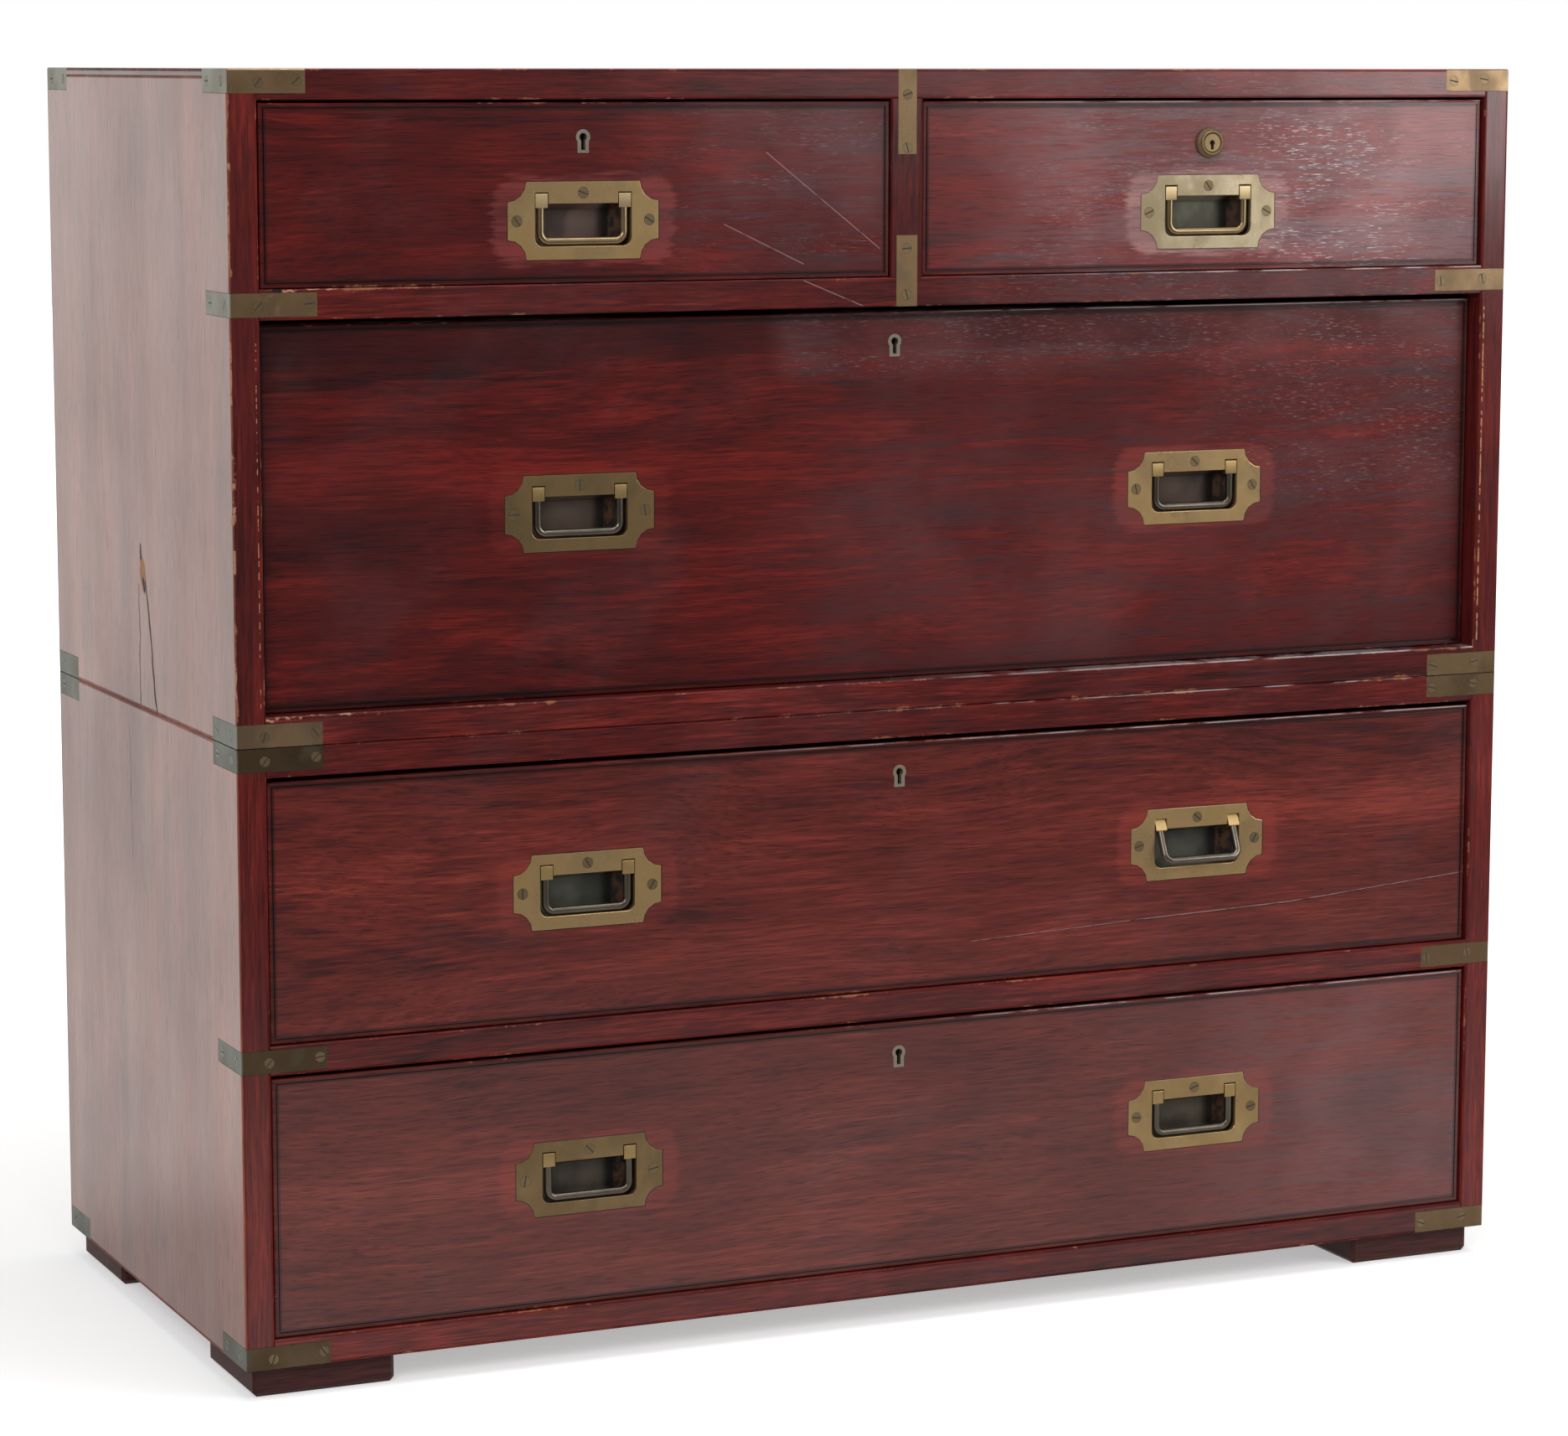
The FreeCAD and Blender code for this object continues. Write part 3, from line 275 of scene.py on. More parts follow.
# %% Distance to a plate and to a scratch
def make_plate_group():
    """Distance to a plate's outline as seen from the front, whatever the depth."""
    tree, given, result = new_group(
        "plate_distance", [("Place", "Vector", None), ("Middle", "Vector", (0, 0, 0)),
                           ("Half", "Vector", (0.05, 0, 0.03)), ("Scoop", "Float", 0.0)],
        [("Distance", "Float")])
    pen = ShaderPen(tree)
    away = pen.vector("ABSOLUTE", pen.vector("SUBTRACT", given["Place"], given["Middle"]))
    beyond = pen.vector("SUBTRACT", pen.vector("MULTIPLY", away, (1, 0, 1)), given["Half"])
    outside = pen.vector("LENGTH", pen.vector("MAXIMUM", beyond, (0, 0, 0)), out=1)
    # in a scooped corner the brass is as far away as the scoop's arc
    scooped = pen.minus(given["Scoop"], pen.vector("LENGTH", beyond, out=1))
    pen.feed(result["Distance"], pen.sum("MAXIMUM", outside, scooped))
    return tree


def make_scratch_group():
    """Distance to a straight line between two places."""
    tree, given, result = new_group(
        "scratch_distance", [("Place", "Vector", None), ("Start", "Vector", (0, 0, 0)),
                             ("End", "Vector", (1, 0, 0))], [("Distance", "Float")])
    pen = ShaderPen(tree)
    run = pen.vector("SUBTRACT", given["End"], given["Start"])
    reach = pen.vector("SUBTRACT", given["Place"], given["Start"])
    share = pen.sum("DIVIDE", pen.vector("DOT_PRODUCT", reach, run, out=1),
                    pen.vector("DOT_PRODUCT", run, run, out=1), clamp=True)
    nearest = pen.scaled(run, share)
    pen.feed(result["Distance"], pen.vector("DISTANCE", reach, nearest, out=1))
    return tree


ARRIS, PLATE, SCRATCH = make_arris_group(), make_plate_group(), make_scratch_group()
print("distance groups:", ", ".join(tree.name for tree in (ARRIS, PLATE, SCRATCH)))


# %% [markdown]
# ## The wood finish
# The real finish is stain, wax and a century of rubbing: a dark red body, a thin clear film that
# turns pale at a low angle, and bare orange-brown wood where edges are knocked. Each board gets
# a material of its own, so that it has its own seed, its own grain direction and its own marks.
# The marks are laid on one over the other, as they came to the real board, and each layer is a
# short function that paints the board so far.

# %% Tones of the woods: dark, middle and light
FRONT_RED = ((0.022, 0.0030, 0.0036), (0.070, 0.0048, 0.0046), (0.150, 0.0098, 0.0066))
# the top right front is paler than the others, partly as painted sheen of the right-hand lamp
PALED_AND_SHEEN_RED = ((0.046, 0.0160, 0.0180), (0.120, 0.0150, 0.0140), (0.215, 0.0270, 0.0220))
BOTTOM_BROWN = ((0.056, 0.0130, 0.0120), (0.108, 0.0205, 0.0160), (0.180, 0.0340, 0.0250))
FRONT_BROWN = ((0.044, 0.0085, 0.0085), (0.108, 0.0150, 0.0112), (0.215, 0.0310, 0.0200))
CASE_RED = ((0.028, 0.0042, 0.0046), (0.082, 0.0072, 0.0062), (0.185, 0.0180, 0.0120))
RIGHT_RED = ((0.050, 0.0060, 0.0060), (0.112, 0.0090, 0.0075), (0.210, 0.0190, 0.0120))
SIDE_RED = ((0.185, 0.0530, 0.0370), (0.248, 0.0730, 0.0470), (0.345, 0.1150, 0.0740))
FOOT_RED = ((0.030, 0.0100, 0.0100), (0.060, 0.0170, 0.0150), (0.095, 0.0260, 0.0210))
LINING = ((0.180, 0.0850, 0.0450), (0.270, 0.1350, 0.0720), (0.350, 0.1900, 0.1050))
PINE = ((0.270, 0.1450, 0.0700), (0.400, 0.2350, 0.1200), (0.500, 0.3200, 0.1750))

# %% Tones of the marks
BARE_WOOD = (0.300, 0.1150, 0.0600)
TORN_WOOD, CRUMBLED_WOOD = (0.36, 0.16, 0.075), (0.40, 0.20, 0.125)
# the pale halo of the top right drawer is partly painted sheen
PALE_HALO_AND_SHEEN, RED_HALO, PINK_HALO = (0.42, 0.26, 0.24), (0.270, 0.0380, 0.0270), (0.300, 0.070, 0.065)
# one near-black is dirt along plates, strap edges and the lock's gaps, and painted shade in cracks and
# in the quirk
DIRT_AND_SHADE, OLD_GLUE, DARK_PORES = (0.006, 0.0040, 0.0040), (0.05, 0.022, 0.014), (0.060, 0.026, 0.030)
# the pale dust tone also paints a highlight along top edges that catch the light
SCRATCHED, DUST_AND_HIGHLIGHT, GREY_SMEAR_AND_SHEEN = (0.36, 0.23, 0.22), (0.50, 0.45, 0.44), (0.34, 0.30, 0.32)
# paled and greyed polish that is partly painted sheen, and white flecks that are painted glints
PALED_AND_SHEEN, GREYED_AND_SHEEN, PAINTED_GLINTS = (0.36, 0.135, 0.135), (0.19, 0.145, 0.155), (0.5, 0.47, 0.48)


# %% A board to paint on
TURNS = {"X": (0, 0, 0), "Y": (0, 0, -math.pi / 2), "Z": (0, math.pi / 2, 0)}


def new_finish(name):
    """A new material: itself, its pen, its shader and its Object coordinates."""
    material = bpy.data.materials.new(name)
    material.use_nodes = True
    pen = ShaderPen(material.node_tree)
    shader = material.node_tree.nodes["Principled BSDF"]
    return material, pen, shader, pen.put("ShaderNodeTexCoord", {}, "Object")


class Board:
    """One board's material while its marks are laid on."""
    def __init__(self, name, grain):
        self.material, self.pen, self.shader, self.place = new_finish(name)
        self.along = self.turned(grain)
        self.crumbs = self.pen.noise(self.place, (95, 95, 95), 5, 0.7)
        self.bald = []      # masks of the places where no wax is left

    def turned(self, grain):
        """The place with X along the grain."""
        return self.pen.put("ShaderNodeMapping", {"Vector": self.place, "Rotation": TURNS[grain]})

    def paint(self, mask, tint, strength=None):
        share = mask if strength is None else self.pen.times(mask, strength)
        self.colour = self.pen.mix(share, self.colour, tint)


# %% [markdown]
# ## Grain and stain
# The dark red of the real boards is stain and old polish over the wood's own figure, and the
# stain has gathered in clouds. One mixture of noises would do for one board, but some solids hold
# boards of two directions, planks above each other, or a face that the sun has paled. So the
# board group is given the right place, seed and tones here, and clouds of the darkest tone go
# over it.

# %% Grain and stain
FADED_BANDS = 0.82                  # a faded side shows its wide bands most
SKIN = (0.5066, 0.5078)             # how far out the faded skin of a side begins


def lay_grain(board, seed, tones, bands, sway, rings, second, planks, outside):
    pen = board.pen
    if second:
        axis, start, grain = second
        here = pen.sum("GREATER_THAN", pen.sum("ABSOLUTE", pen.part(board.place, axis)), start)
        board.along = pen.mix(here, board.along, board.turned(grain), "VECTOR")
    if planks:
        base, pitch = planks
        row = pen.sum("FLOOR", pen.sum("DIVIDE", pen.minus(pen.part(board.place, 2), base), pitch))
        seed = pen.plus(pen.times(row, 5.3), seed)

    def sawn(tones, bands):
        dark, middle, light = tones
        return pen.group(BOARD, Place=board.along, Seed=seed, Bands=bands, Sway=sway, Rings=rings,
                         Dark=dark, Middle=middle, Light=light).node.outputs

    layers = sawn(tones, bands)
    board.colour, board.pores = layers["Colour"], layers["Pores"]
    board.relief, board.figure = layers["Height"], layers["Figure"]
    if outside:
        side, faded = outside
        outward = pen.times(pen.part(board.place, 0), float(side))
        board.paint(pen.fade(outward, *SKIN), sawn(faded, FADED_BANDS)["Colour"])


def lay_stain(board, dark, shade_above, waxed):
    """Clouds of darker stain, a darker band above one height, and a grey smear of wax that is partly
    painted sheen.
    """
    pen, place = board.pen, board.place
    if shade_above:
        ragged = pen.plus(pen.part(place, 2), pen.times(pen.noise(place, (6, 6, 40), 3), 12 * MM))
        board.paint(pen.fade(ragged, shade_above, shade_above + 12 * MM, 0.0, 0.55), dark)
    board.blotch = pen.noise(place, (7, 7, 7), 3)
    board.paint(pen.fade(board.blotch, 0.35, 0.75, 0.0, 0.35), dark)
    if waxed:
        wiped = pen.put("ShaderNodeMapping", {"Vector": place, "Rotation": (0.3, 0.7, 0.4)})
        wiped = pen.noise(wiped, (7, 16, 11), 4, 0.6)
        # a faint grey smear of wax, partly a painted sheen on the polish
        board.paint(pen.fade(wiped, 0.48, 0.72, 0.0, 0.022), GREY_SMEAR_AND_SHEEN)


# %% [markdown]
# ## Round the brass plates
# A rag doesn't reach into the corner between brass and wood, so a thin dark line of dirt stays
# there, and round it lies a paler halo where years of metal polish have eaten the stain. The halo
# is also partly painted sheen: paler on the top right drawer and stronger towards the right. It
# could be painted by hand for every drawer. A distance to the plate's outline does them all with
# one rule, and noise along the grain gives the halo its fibrous edge.

# %% Round the brass plates
PLATE_SIZE, SCOOP = (113.5 * MM, 54.5 * MM), 14 * MM
PLATE_HALF, HALO_HALF = (PLATE_SIZE[0] / 2, 0.0, PLATE_SIZE[1] / 2), (50 * MM, 0.0, 12 * MM)
CHEST_MIDDLE = (-0.15, 0.15)        # what differs from left to right changes between these


def lay_plate_marks(board, plates, halo):
    """Dirt along each plate's outline, and round it a halo where the polish is rubbed thin; its tint
    and its strength from left to right are partly painted sheen.
    """
    pen = board.pen
    for middle in plates:
        if halo:
            tint, left, right = halo
            away = pen.group(PLATE, Place=board.place, Middle=middle, Half=HALO_HALF)
            fibrous = pen.times(pen.noise(board.along, (22, 260, 260), 4, 0.6), 22 * MM)
            board.paint(pen.all_of(pen.within(pen.plus(away, fibrous), 26.5 * MM, 32.5 * MM),
                                   pen.fade(pen.part(board.place, 0), *CHEST_MIDDLE, left, right),
                                   pen.fade(board.figure, 0.42, 0.56, 0.45, 1.0)), tint)
        away = pen.group(PLATE, Place=board.place, Middle=middle, Half=PLATE_HALF, Scoop=SCOOP)
        board.paint(pen.fade(away, 0.2 * MM, 0.9 * MM, 0.7, 0.0), DIRT_AND_SHADE)


# %% [markdown]
# ## Scratches, chips and cracks
# A scratch is pale because it crushes the polish, a crack is painted dark as dirt and as painted
# shade in its depth, and a chip shows bare wood. They could be cut into a mesh, but they are finer
# than its faces. In the material each is the distance to a line. Noise breaks a scratch up, and it
# shakes the place first for a chip or a crack, which makes its outline ragged.

# %% Lines: scratches, chips and cracks
def lines_mask(board, place, lines, core):
    """One mask for lines of (start, end, width); core is the share of the width that is full."""
    pen, masks = board.pen, []
    for start, end, width in lines:
        away = pen.group(SCRATCH, Place=place, Start=start, End=end)
        masks.append(pen.within(away, width / 2 * core, width / 2))
    return pen.any_of(*masks)


def jittered(board, scale, reach):
    """The place shaken by noise, so that a mark drawn there has a ragged outline."""
    pen = board.pen
    shake = pen.put("ShaderNodeTexNoise", {"Vector": board.place, "Scale": scale, "Detail": 3.0}, 1)
    shake = pen.vector("MULTIPLY", pen.vector("SUBTRACT", shake, (0.5, 0.5, 0.5)), reach)
    return pen.vector("ADD", board.place, shake)


def lay_scratches(board, scratches):
    pen = board.pen
    broken = pen.fade(pen.noise(board.place, (90, 90, 90), 2), 0.28, 0.50)
    lines = lines_mask(board, board.place, scratches, 0.2)
    board.paint(pen.all_of(lines, broken), SCRATCHED, 0.5)


def lay_damage(board, chips, torn, cracks, crack_sway):
    """Crumbled arrises, torn splinters and open cracks, which all lose their wax; the cracks are
    painted dark, as dirt and as painted shade in their depth.
    """
    pen = board.pen
    if chips:
        crumbled = lines_mask(board, jittered(board, 90.0, (0, 8 * MM, 12 * MM)), chips, 0.4)
        crumbled = pen.all_of(crumbled, pen.fade(board.crumbs, 0.44, 0.52))
        board.paint(crumbled, CRUMBLED_WOOD, 0.85)
        board.bald.append(crumbled)
    if torn:
        splinter = lines_mask(board, jittered(board, 150.0, (0, 6 * MM, 10 * MM)), torn, 0.6)
        board.paint(splinter, TORN_WOOD)
        board.bald.append(splinter)
    if cracks:
        line = lines_mask(board, jittered(board, 45.0, crack_sway), cracks, 0.4)
        # a crack is painted dark: dirt, and painted shade in its depth
        board.paint(line, DIRT_AND_SHADE)
        board.bald.append(line)
        board.relief = pen.minus(board.relief, pen.times(line, 6.0))


# %% [markdown]
# ## Bloom, dust and painted sheen
# Where a chest has stood damp its polish pales in patches. Here the same patches also carry painted
# sheen where the lamp's reflection lies on the polish, and their white dashes along the grain are
# painted glints. A patch could be one grey cloud, but it would look like fog. So it is a soft box in
# which four layers are mixed: paler polish, greyed bands, dark pores and white glints. Dust also
# lies in broken lines on edges that nobody wipes, painted paler there as a highlight where the top
# edges catch the light.

# %% Bloom, dust and painted sheen
def lay_bloom_and_sheen(board, bloom_and_sheen):
    """Patches of (middle, half, reach, strength, glints) where the polish has paled, with painted
    sheen and painted glints.
    """
    pen, along = board.pen, board.along
    for middle, half, reach, strength, glinting in bloom_and_sheen:
        patch = pen.within(pen.group(PLATE, Place=board.place, Middle=middle, Half=half), 0.0, reach)
        # the polish has paled and dust greys the dark bands, both partly painted sheen; the pores stay
        # dark dashes, and the white glints are painted
        cloud = pen.fade(pen.noise(board.place, (13, 13, 13), 3), 0.38, 0.65, 0.35, 1.0)
        dark_bands = pen.fade(board.figure, 0.53, 0.45)
        glints = pen.fade(pen.noise(along, (130, 1200, 1200), 2), 0.57, 0.70)
        clusters = pen.fade(pen.noise(along, (12, 60, 60), 3), 0.40, 0.62, 0.15, 1.0)
        dashes = pen.fade(pen.noise(along, (45, 800, 800), 2), 0.55, 0.68)
        board.paint(pen.all_of(patch, cloud, 0.30 * strength), PALED_AND_SHEEN)
        board.paint(pen.all_of(patch, dark_bands, 0.25 * strength), GREYED_AND_SHEEN)
        board.paint(pen.all_of(patch, dashes, 0.40 * strength), DARK_PORES)
        board.paint(pen.all_of(patch, glints, clusters, glinting), PAINTED_GLINTS)


def lay_dust_and_highlight_line(board, height, start, end):
    """A broken pale line on one edge, coming in from start to end: dust, with a painted highlight
    where the top edge catches the light.
    """
    pen, place = board.pen, board.place
    away = pen.sum("ABSOLUTE", pen.minus(pen.part(place, 2), height))
    broken = pen.fade(pen.noise(place, (30, 30, 200), 3, 0.6), 0.40, 0.56)
    board.paint(pen.all_of(pen.within(away, 0.2 * MM, 0.7 * MM),
                           pen.fade(pen.part(place, 0), start, end), broken), DUST_AND_HIGHLIGHT, 0.62)


# %% [markdown]
# ## Worn arrises, glue lines and the quirk
# An arris is the sharp edge of a board, and it is rubbed through to bare wood first. A shader can
# find edges by itself with a Bevel or Pointiness node, but both work in Cycles alone, and what
# Pointiness finds changes with how fine the mesh is. A board is a box, so the distance to the
# box's arrises is known at every place. The same distance finds the quirk, the sunk line beside
# a front's bead, which is darkened with painted shade.

# %% Worn arrises, glue lines and the quirk
def lay_arrises(board, box, wear):
    """Rubbed only where two noises are low, so bare wood comes and goes along an arris."""
    pen = board.pen
    board.edge_away = pen.group(ARRIS, Place=board.place, Low=box[0], High=box[1])
    patchy = pen.plus(pen.times(board.crumbs, 0.6),
                      pen.times(pen.noise(board.place, (12, 12, 12), 2), 0.4))
    ragged = pen.plus(board.edge_away, pen.times(patchy, 16 * MM))
    board.bare = pen.within(ragged, (6.4 + 0.6 * wear) * MM, (7.2 + 1.0 * wear) * MM)
    board.paint(board.bare, BARE_WOOD, 0.7)


def lay_glue_lines(board, heights):
    pen = board.pen
    for height in heights:
        away = pen.sum("ABSOLUTE", pen.minus(pen.part(board.place, 2), height))
        seam = pen.all_of(pen.fade(away, 0.3 * MM, 0.7 * MM, 0.85, 0.0),
                          pen.fade(board.crumbs, 0.3, 0.5, 0.6, 1.0))
        board.paint(seam, OLD_GLUE)
        board.bald.append(seam)


def lay_quirk_shade(board):
    """Painted shade in the sunk line that runs beside a front's bead."""
    pen, away = board.pen, board.edge_away
    sunk = pen.all_of(pen.fade(away, 1.2 * MM, 2.4 * MM), pen.within(away, 4.8 * MM, 6.0 * MM))
    board.paint(sunk, DIRT_AND_SHADE, 0.55)


# %% [markdown]
# ## The film of wax
# Wax over stain is two surfaces: dull wood, and a clear film that mirrors. The film is the
# shader's coat. It is streaky, thin on arrises and gone in cracks and glue lines, so its weight
# is linked; its roughness is a plain number on the shader. It fills most of the pores, so its
# relief is softer than the wood's, with a slow swell, as hand-polished boards are never flat.

# %% Wax
def lay_wax(board, coat, coat_roughness, roughness, worn_edges):
    pen, shader = board.pen, board.shader
    pen.feed(shader.inputs["Base Color"], board.colour)
    dull = pen.plus(pen.fade(board.blotch, 0.3, 0.7, *roughness), pen.times(board.pores, 0.12))
    swell = pen.noise(board.place, (14, 14, 14), 2)
    film = pen.plus(pen.times(board.relief, 0.07), pen.times(swell, 5.0))
    streaks = pen.noise(board.along, (1.5, 12, 12), 4, 0.6)
    left = [pen.fade(streaks, 0.36, 0.62, 0.86, 1.0)] + [pen.none_of(mask) for mask in board.bald]
    if worn_edges:
        away, crumbs = board.edge_away, board.crumbs
        dull = pen.plus(dull, pen.times(board.bare, 0.25))
        film = pen.plus(film, pen.times(pen.within(away, 0.8 * MM, 1.8 * MM), crumbs, 5.0))
        left.append(pen.none_of(pen.all_of(pen.within(away, 1.4 * MM, 2.6 * MM),
                                           pen.fade(crumbs, 0.45, 0.65, 0.97, 0.85))))
    pen.feed(shader.inputs["Roughness"], dull)
    shader.inputs["Specular IOR Level"].default_value = 0.1
    shader.inputs["Coat Weight"].default_value = coat
    shader.inputs["Coat Roughness"].default_value = coat_roughness
    if coat:
        pen.feed(shader.inputs["Coat Weight"], pen.times(pen.all_of(*left), coat))
    pen.feed(shader.inputs["Normal"], pen.bump(board.relief, 0.3))
    pen.feed(shader.inputs["Coat Normal"], pen.bump(film, 0.3))


# %% One board from bare wood to wax
def wood(name, grain, seed, tones, bands=0.4, sway=0.02, rings=1.0, second=None, planks=None,
         outside=None, shade_above=None, plates=(), halo=None, scratches=(), bloom_and_sheen=(), box=None,
         wear=0.5, joints=(), quirk=False, dust_and_highlight_edge=None, chips=(), torn=(), cracks=(),
         crack_sway=(0, 10 * MM, 0), coat=1.0, coat_roughness=0.16, roughness=(0.42, 0.56)):
    """A board's material. grain is the axis its fibres run along; bands, sway and rings shape its
    figure; second is (axis, from, grain) for a mesh that holds boards of two directions; planks is
    (base, pitch) of boards that lie above each other; outside is (side, tones) of a faded face;
    above shade_above the board is darker. plates are the middles of plates let into it and halo is
    (colour, strength at the left, strength at the right). box is its two corners, for arrises worn
    by wear; joints are heights of glue lines; dust_and_highlight_edge is (height, start, end) of a
    line of dust and painted highlight. scratches, chips, torn and cracks are lines. coat is how much
    wax it has."""
    board = Board(name, grain)
    lay_grain(board, seed, tones, bands, sway, rings, second, planks, outside)
    lay_stain(board, tones[0], shade_above, waxed=coat > 0)
    lay_plate_marks(board, plates, halo)
    if scratches:
        lay_scratches(board, scratches)
    lay_bloom_and_sheen(board, bloom_and_sheen)
    if box:
        lay_arrises(board, box, wear)
    lay_glue_lines(board, joints)
    if quirk:
        lay_quirk_shade(board)
    if dust_and_highlight_edge:
        lay_dust_and_highlight_line(board, *dust_and_highlight_edge)
    lay_damage(board, chips, torn, cracks, crack_sway)
    lay_wax(board, coat, coat_roughness, roughness, worn_edges=bool(box))
    return board.material


def finish_node(node, material):
    """Puts a material on every slot of a solid that is kept."""
    for slot in NODES[node].material_slots:
        slot.material = material


# %% [markdown]
# ## The two cases
# Each side board runs the full height of its case with upright grain, and its front edge is what
# shows beside the drawers. Rails, top and bottoms run across. A chest like this is knocked on
# its corners first, so the wear on the arrises is strongest there. The marks could be painted by
# hand on an unwrapped board; drawn as lines in millimetres they stay sharp from close by, and a
# list of them reads like a maker's report on the chest's state.

# %% Drawing marks in millimetres
def on_front(depth, *lines):
    """Lines of (x, z, x, z, width) on an upright plane that faces forward."""
    return [((x0 * MM, depth * MM, z0 * MM), (x1 * MM, depth * MM, z1 * MM), width * MM)
            for x0, z0, x1, z1, width in lines]


def on_side(x, *lines):
    """Lines of (y, z, y, z, width) on an upright plane that faces sideways."""
    return [((x * MM, y0 * MM, z0 * MM), (x * MM, y1 * MM, z1 * MM), width * MM)
            for y0, z0, y1, z1, width in lines]


def bloom_and_sheen_patch(x, z, half_width, half_height, reach, strength, glints):
    """A patch of paled polish and painted sheen: full inside a box about (x, z), and gone at reach
    beyond it.
    """
    half = (half_width * MM, 0, half_height * MM)
    return (x * MM, 0, z * MM), half, reach * MM, strength, glints


# %% Marks on the sides and their front edges
CASE_HALF, CASE_FRONT = 508, -227       # mm
INNER_ARRIS, EDGE_LINE = 490.2, -226.8  # mm: the arris beside the deep drawer, just inside the wood
side_cracks_upper = on_side(-CASE_HALF, (-1, 581.5, -3, 572.5, 4.8), (-8, 556.5, -10, 550.0, 7.0),
                            (-13.5, 555.5, -37, 464.0, 4.6), (4, 552, 4, 464.0, 2.0))
side_cracks_lower = on_side(-CASE_HALF, (35, 445.0, 33, 346, 0.8))
side_scratches = on_side(-CASE_HALF, (-108, 848.8, -115, 820, 0.8), (-115, 820, -112, 793, 0.8))
torn_knot = on_side(-CASE_HALF, (-3, 572, -5, 564, 9), (-6, 564, -8, 557, 18))
left_arris_chips = on_side(-CASE_HALF, *[(-226.5, high, -226.5, low, width) for high, low, width in (
    (895, 880, 3.0), (862, 852, 4.4), (842, 790, 2.2), (742, 700, 2.4), (664, 618, 6.0),
    (598, 584, 4.0), (520, 486, 3.0))])
inner_arrises = {side: on_side(side * INNER_ARRIS, (EDGE_LINE, 745, EDGE_LINE, 490, width))
                 for side, width in ((-1, 0.8), (1, 1.6))}
print("lines on the left side:", len(side_cracks_upper + side_cracks_lower + side_scratches
                                     + torn_knot + left_arris_chips))

# %% Case boards
upright = dict(grain="Z", wear=0.8)
level = dict(grain="X", rings=0.5, tones=CASE_RED)
left_side = dict(upright, tones=CASE_RED, outside=(-1, SIDE_RED), bands=0.55, rings=0.5)
right_side = dict(upright, tones=RIGHT_RED, outside=(1, SIDE_RED))
LAP_JOINT = 919.6 * MM              # the top board laps over the sides here
case_boards = {
    "upper_side_left": dict(left_side, seed=1.0, wear=1.3, joints=[LAP_JOINT], chips=left_arris_chips,
                            torn=torn_knot + inner_arrises[-1], cracks=side_cracks_upper,
                            scratches=side_scratches),
    "upper_side_right": dict(right_side, seed=2.0, joints=[LAP_JOINT], torn=inner_arrises[1]),
    "lower_side_left": dict(left_side, seed=3.0, cracks=side_cracks_lower),
    "lower_side_right": dict(right_side, seed=4.0),
    "top_board": dict(level, seed=5.0, wear=0.6, bands=0.5,
                      bloom_and_sheen=[bloom_and_sheen_patch(420, 914, 60, 20, 500, 0.85, 0.1)]),
    "upper_mid_rail": dict(level, seed=6.0, wear=0.9, crack_sway=(0, 0, 1 * MM),
                           chips=on_front(-226.6, (-486, 775.7, -395, 775.7, 2.2)),
                           cracks=on_front(CASE_FRONT, (-476.8, 776.1, -472.2, 776.1, 4.6)),
                           scratches=on_front(CASE_FRONT, (-81.4, 775.1, -35, 756.3, 1.1)),
                           bloom_and_sheen=[bloom_and_sheen_patch(300, 766, 150, 20, 150, 0.4, 0.1)],
                           dust_and_highlight_edge=(775.8 * MM, 0.05, 0.35)),
    "upper_bottom_board": dict(level, seed=7.0, wear=1.2,
                               chips=on_front(-226.6, (-486, 482.6, -405, 482.6, 3.0)),
                               dust_and_highlight_edge=(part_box("upper_bottom_board")[1].z - 0.4 * MM, -0.1, 0.3)),
    "lower_top_board": dict(level, seed=8.0, wear=0.9,
                            dust_and_highlight_edge=(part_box("lower_top_board")[1].z - 0.3 * MM, -0.1, 0.2)),
    "lower_mid_rail": dict(level, seed=9.0, wear=0.7),
    "lower_bottom_board": dict(level, seed=10.0, wear=0.8),
    "drawer_divider": dict(grain="Z", seed=11.0, tones=CASE_RED, wear=0.5),
}
for board, facts in case_boards.items():
    finish_node(board, wood(f"waxed_mahogany_{board}", box=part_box(board), **facts))
print("case boards:", len(case_boards))

# %% Feet, pegs, runners and backs
finish_node("block_feet", wood("dull_mahogany_feet", "X", 12.0, FOOT_RED, box=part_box("block_feet"),
                               wear=0.4, coat=0.25, coat_roughness=0.4, roughness=(0.5, 0.65)))
finish_node("locating_pegs", wood("turned_pegs", "Z", 13.0, FOOT_RED, coat=0.1, roughness=(0.5, 0.7)))
unwaxed = dict(coat=0.0, roughness=(0.6, 0.8))
BACK_BOARD_COUNT = 3
for number, part in enumerate(("upper", "lower")):
    finish_node(f"{part}_runners_and_stops",
                wood(f"old_pine_{part}_runners", "Y", 14.0 + number, PINE, **unwaxed))
    low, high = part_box(f"{part}_back_boards")
    finish_node(f"{part}_back_boards",
                wood(f"old_pine_{part}_back", "X", 16.0 + number, PINE, rings=0.8,
                     planks=(low.z, (high.z - low.z) / BACK_BOARD_COUNT), **unwaxed))
    print(f"{part} back: {BACK_BOARD_COUNT} boards in {(high.z - low.z) / MM:.1f} mm")


# %% [markdown]
# ## The drawers
# Each front is one wide board with the grain running across. The upper ones are the reddest; the
# two lower ones have faded browner. Boxes and bottoms are a plain paler wood that never saw wax.
# Marks are placed on the front that carries them: pale scratches, a hairline, pores that show as dark
# dashes, and patches of painted sheen with painted glints.

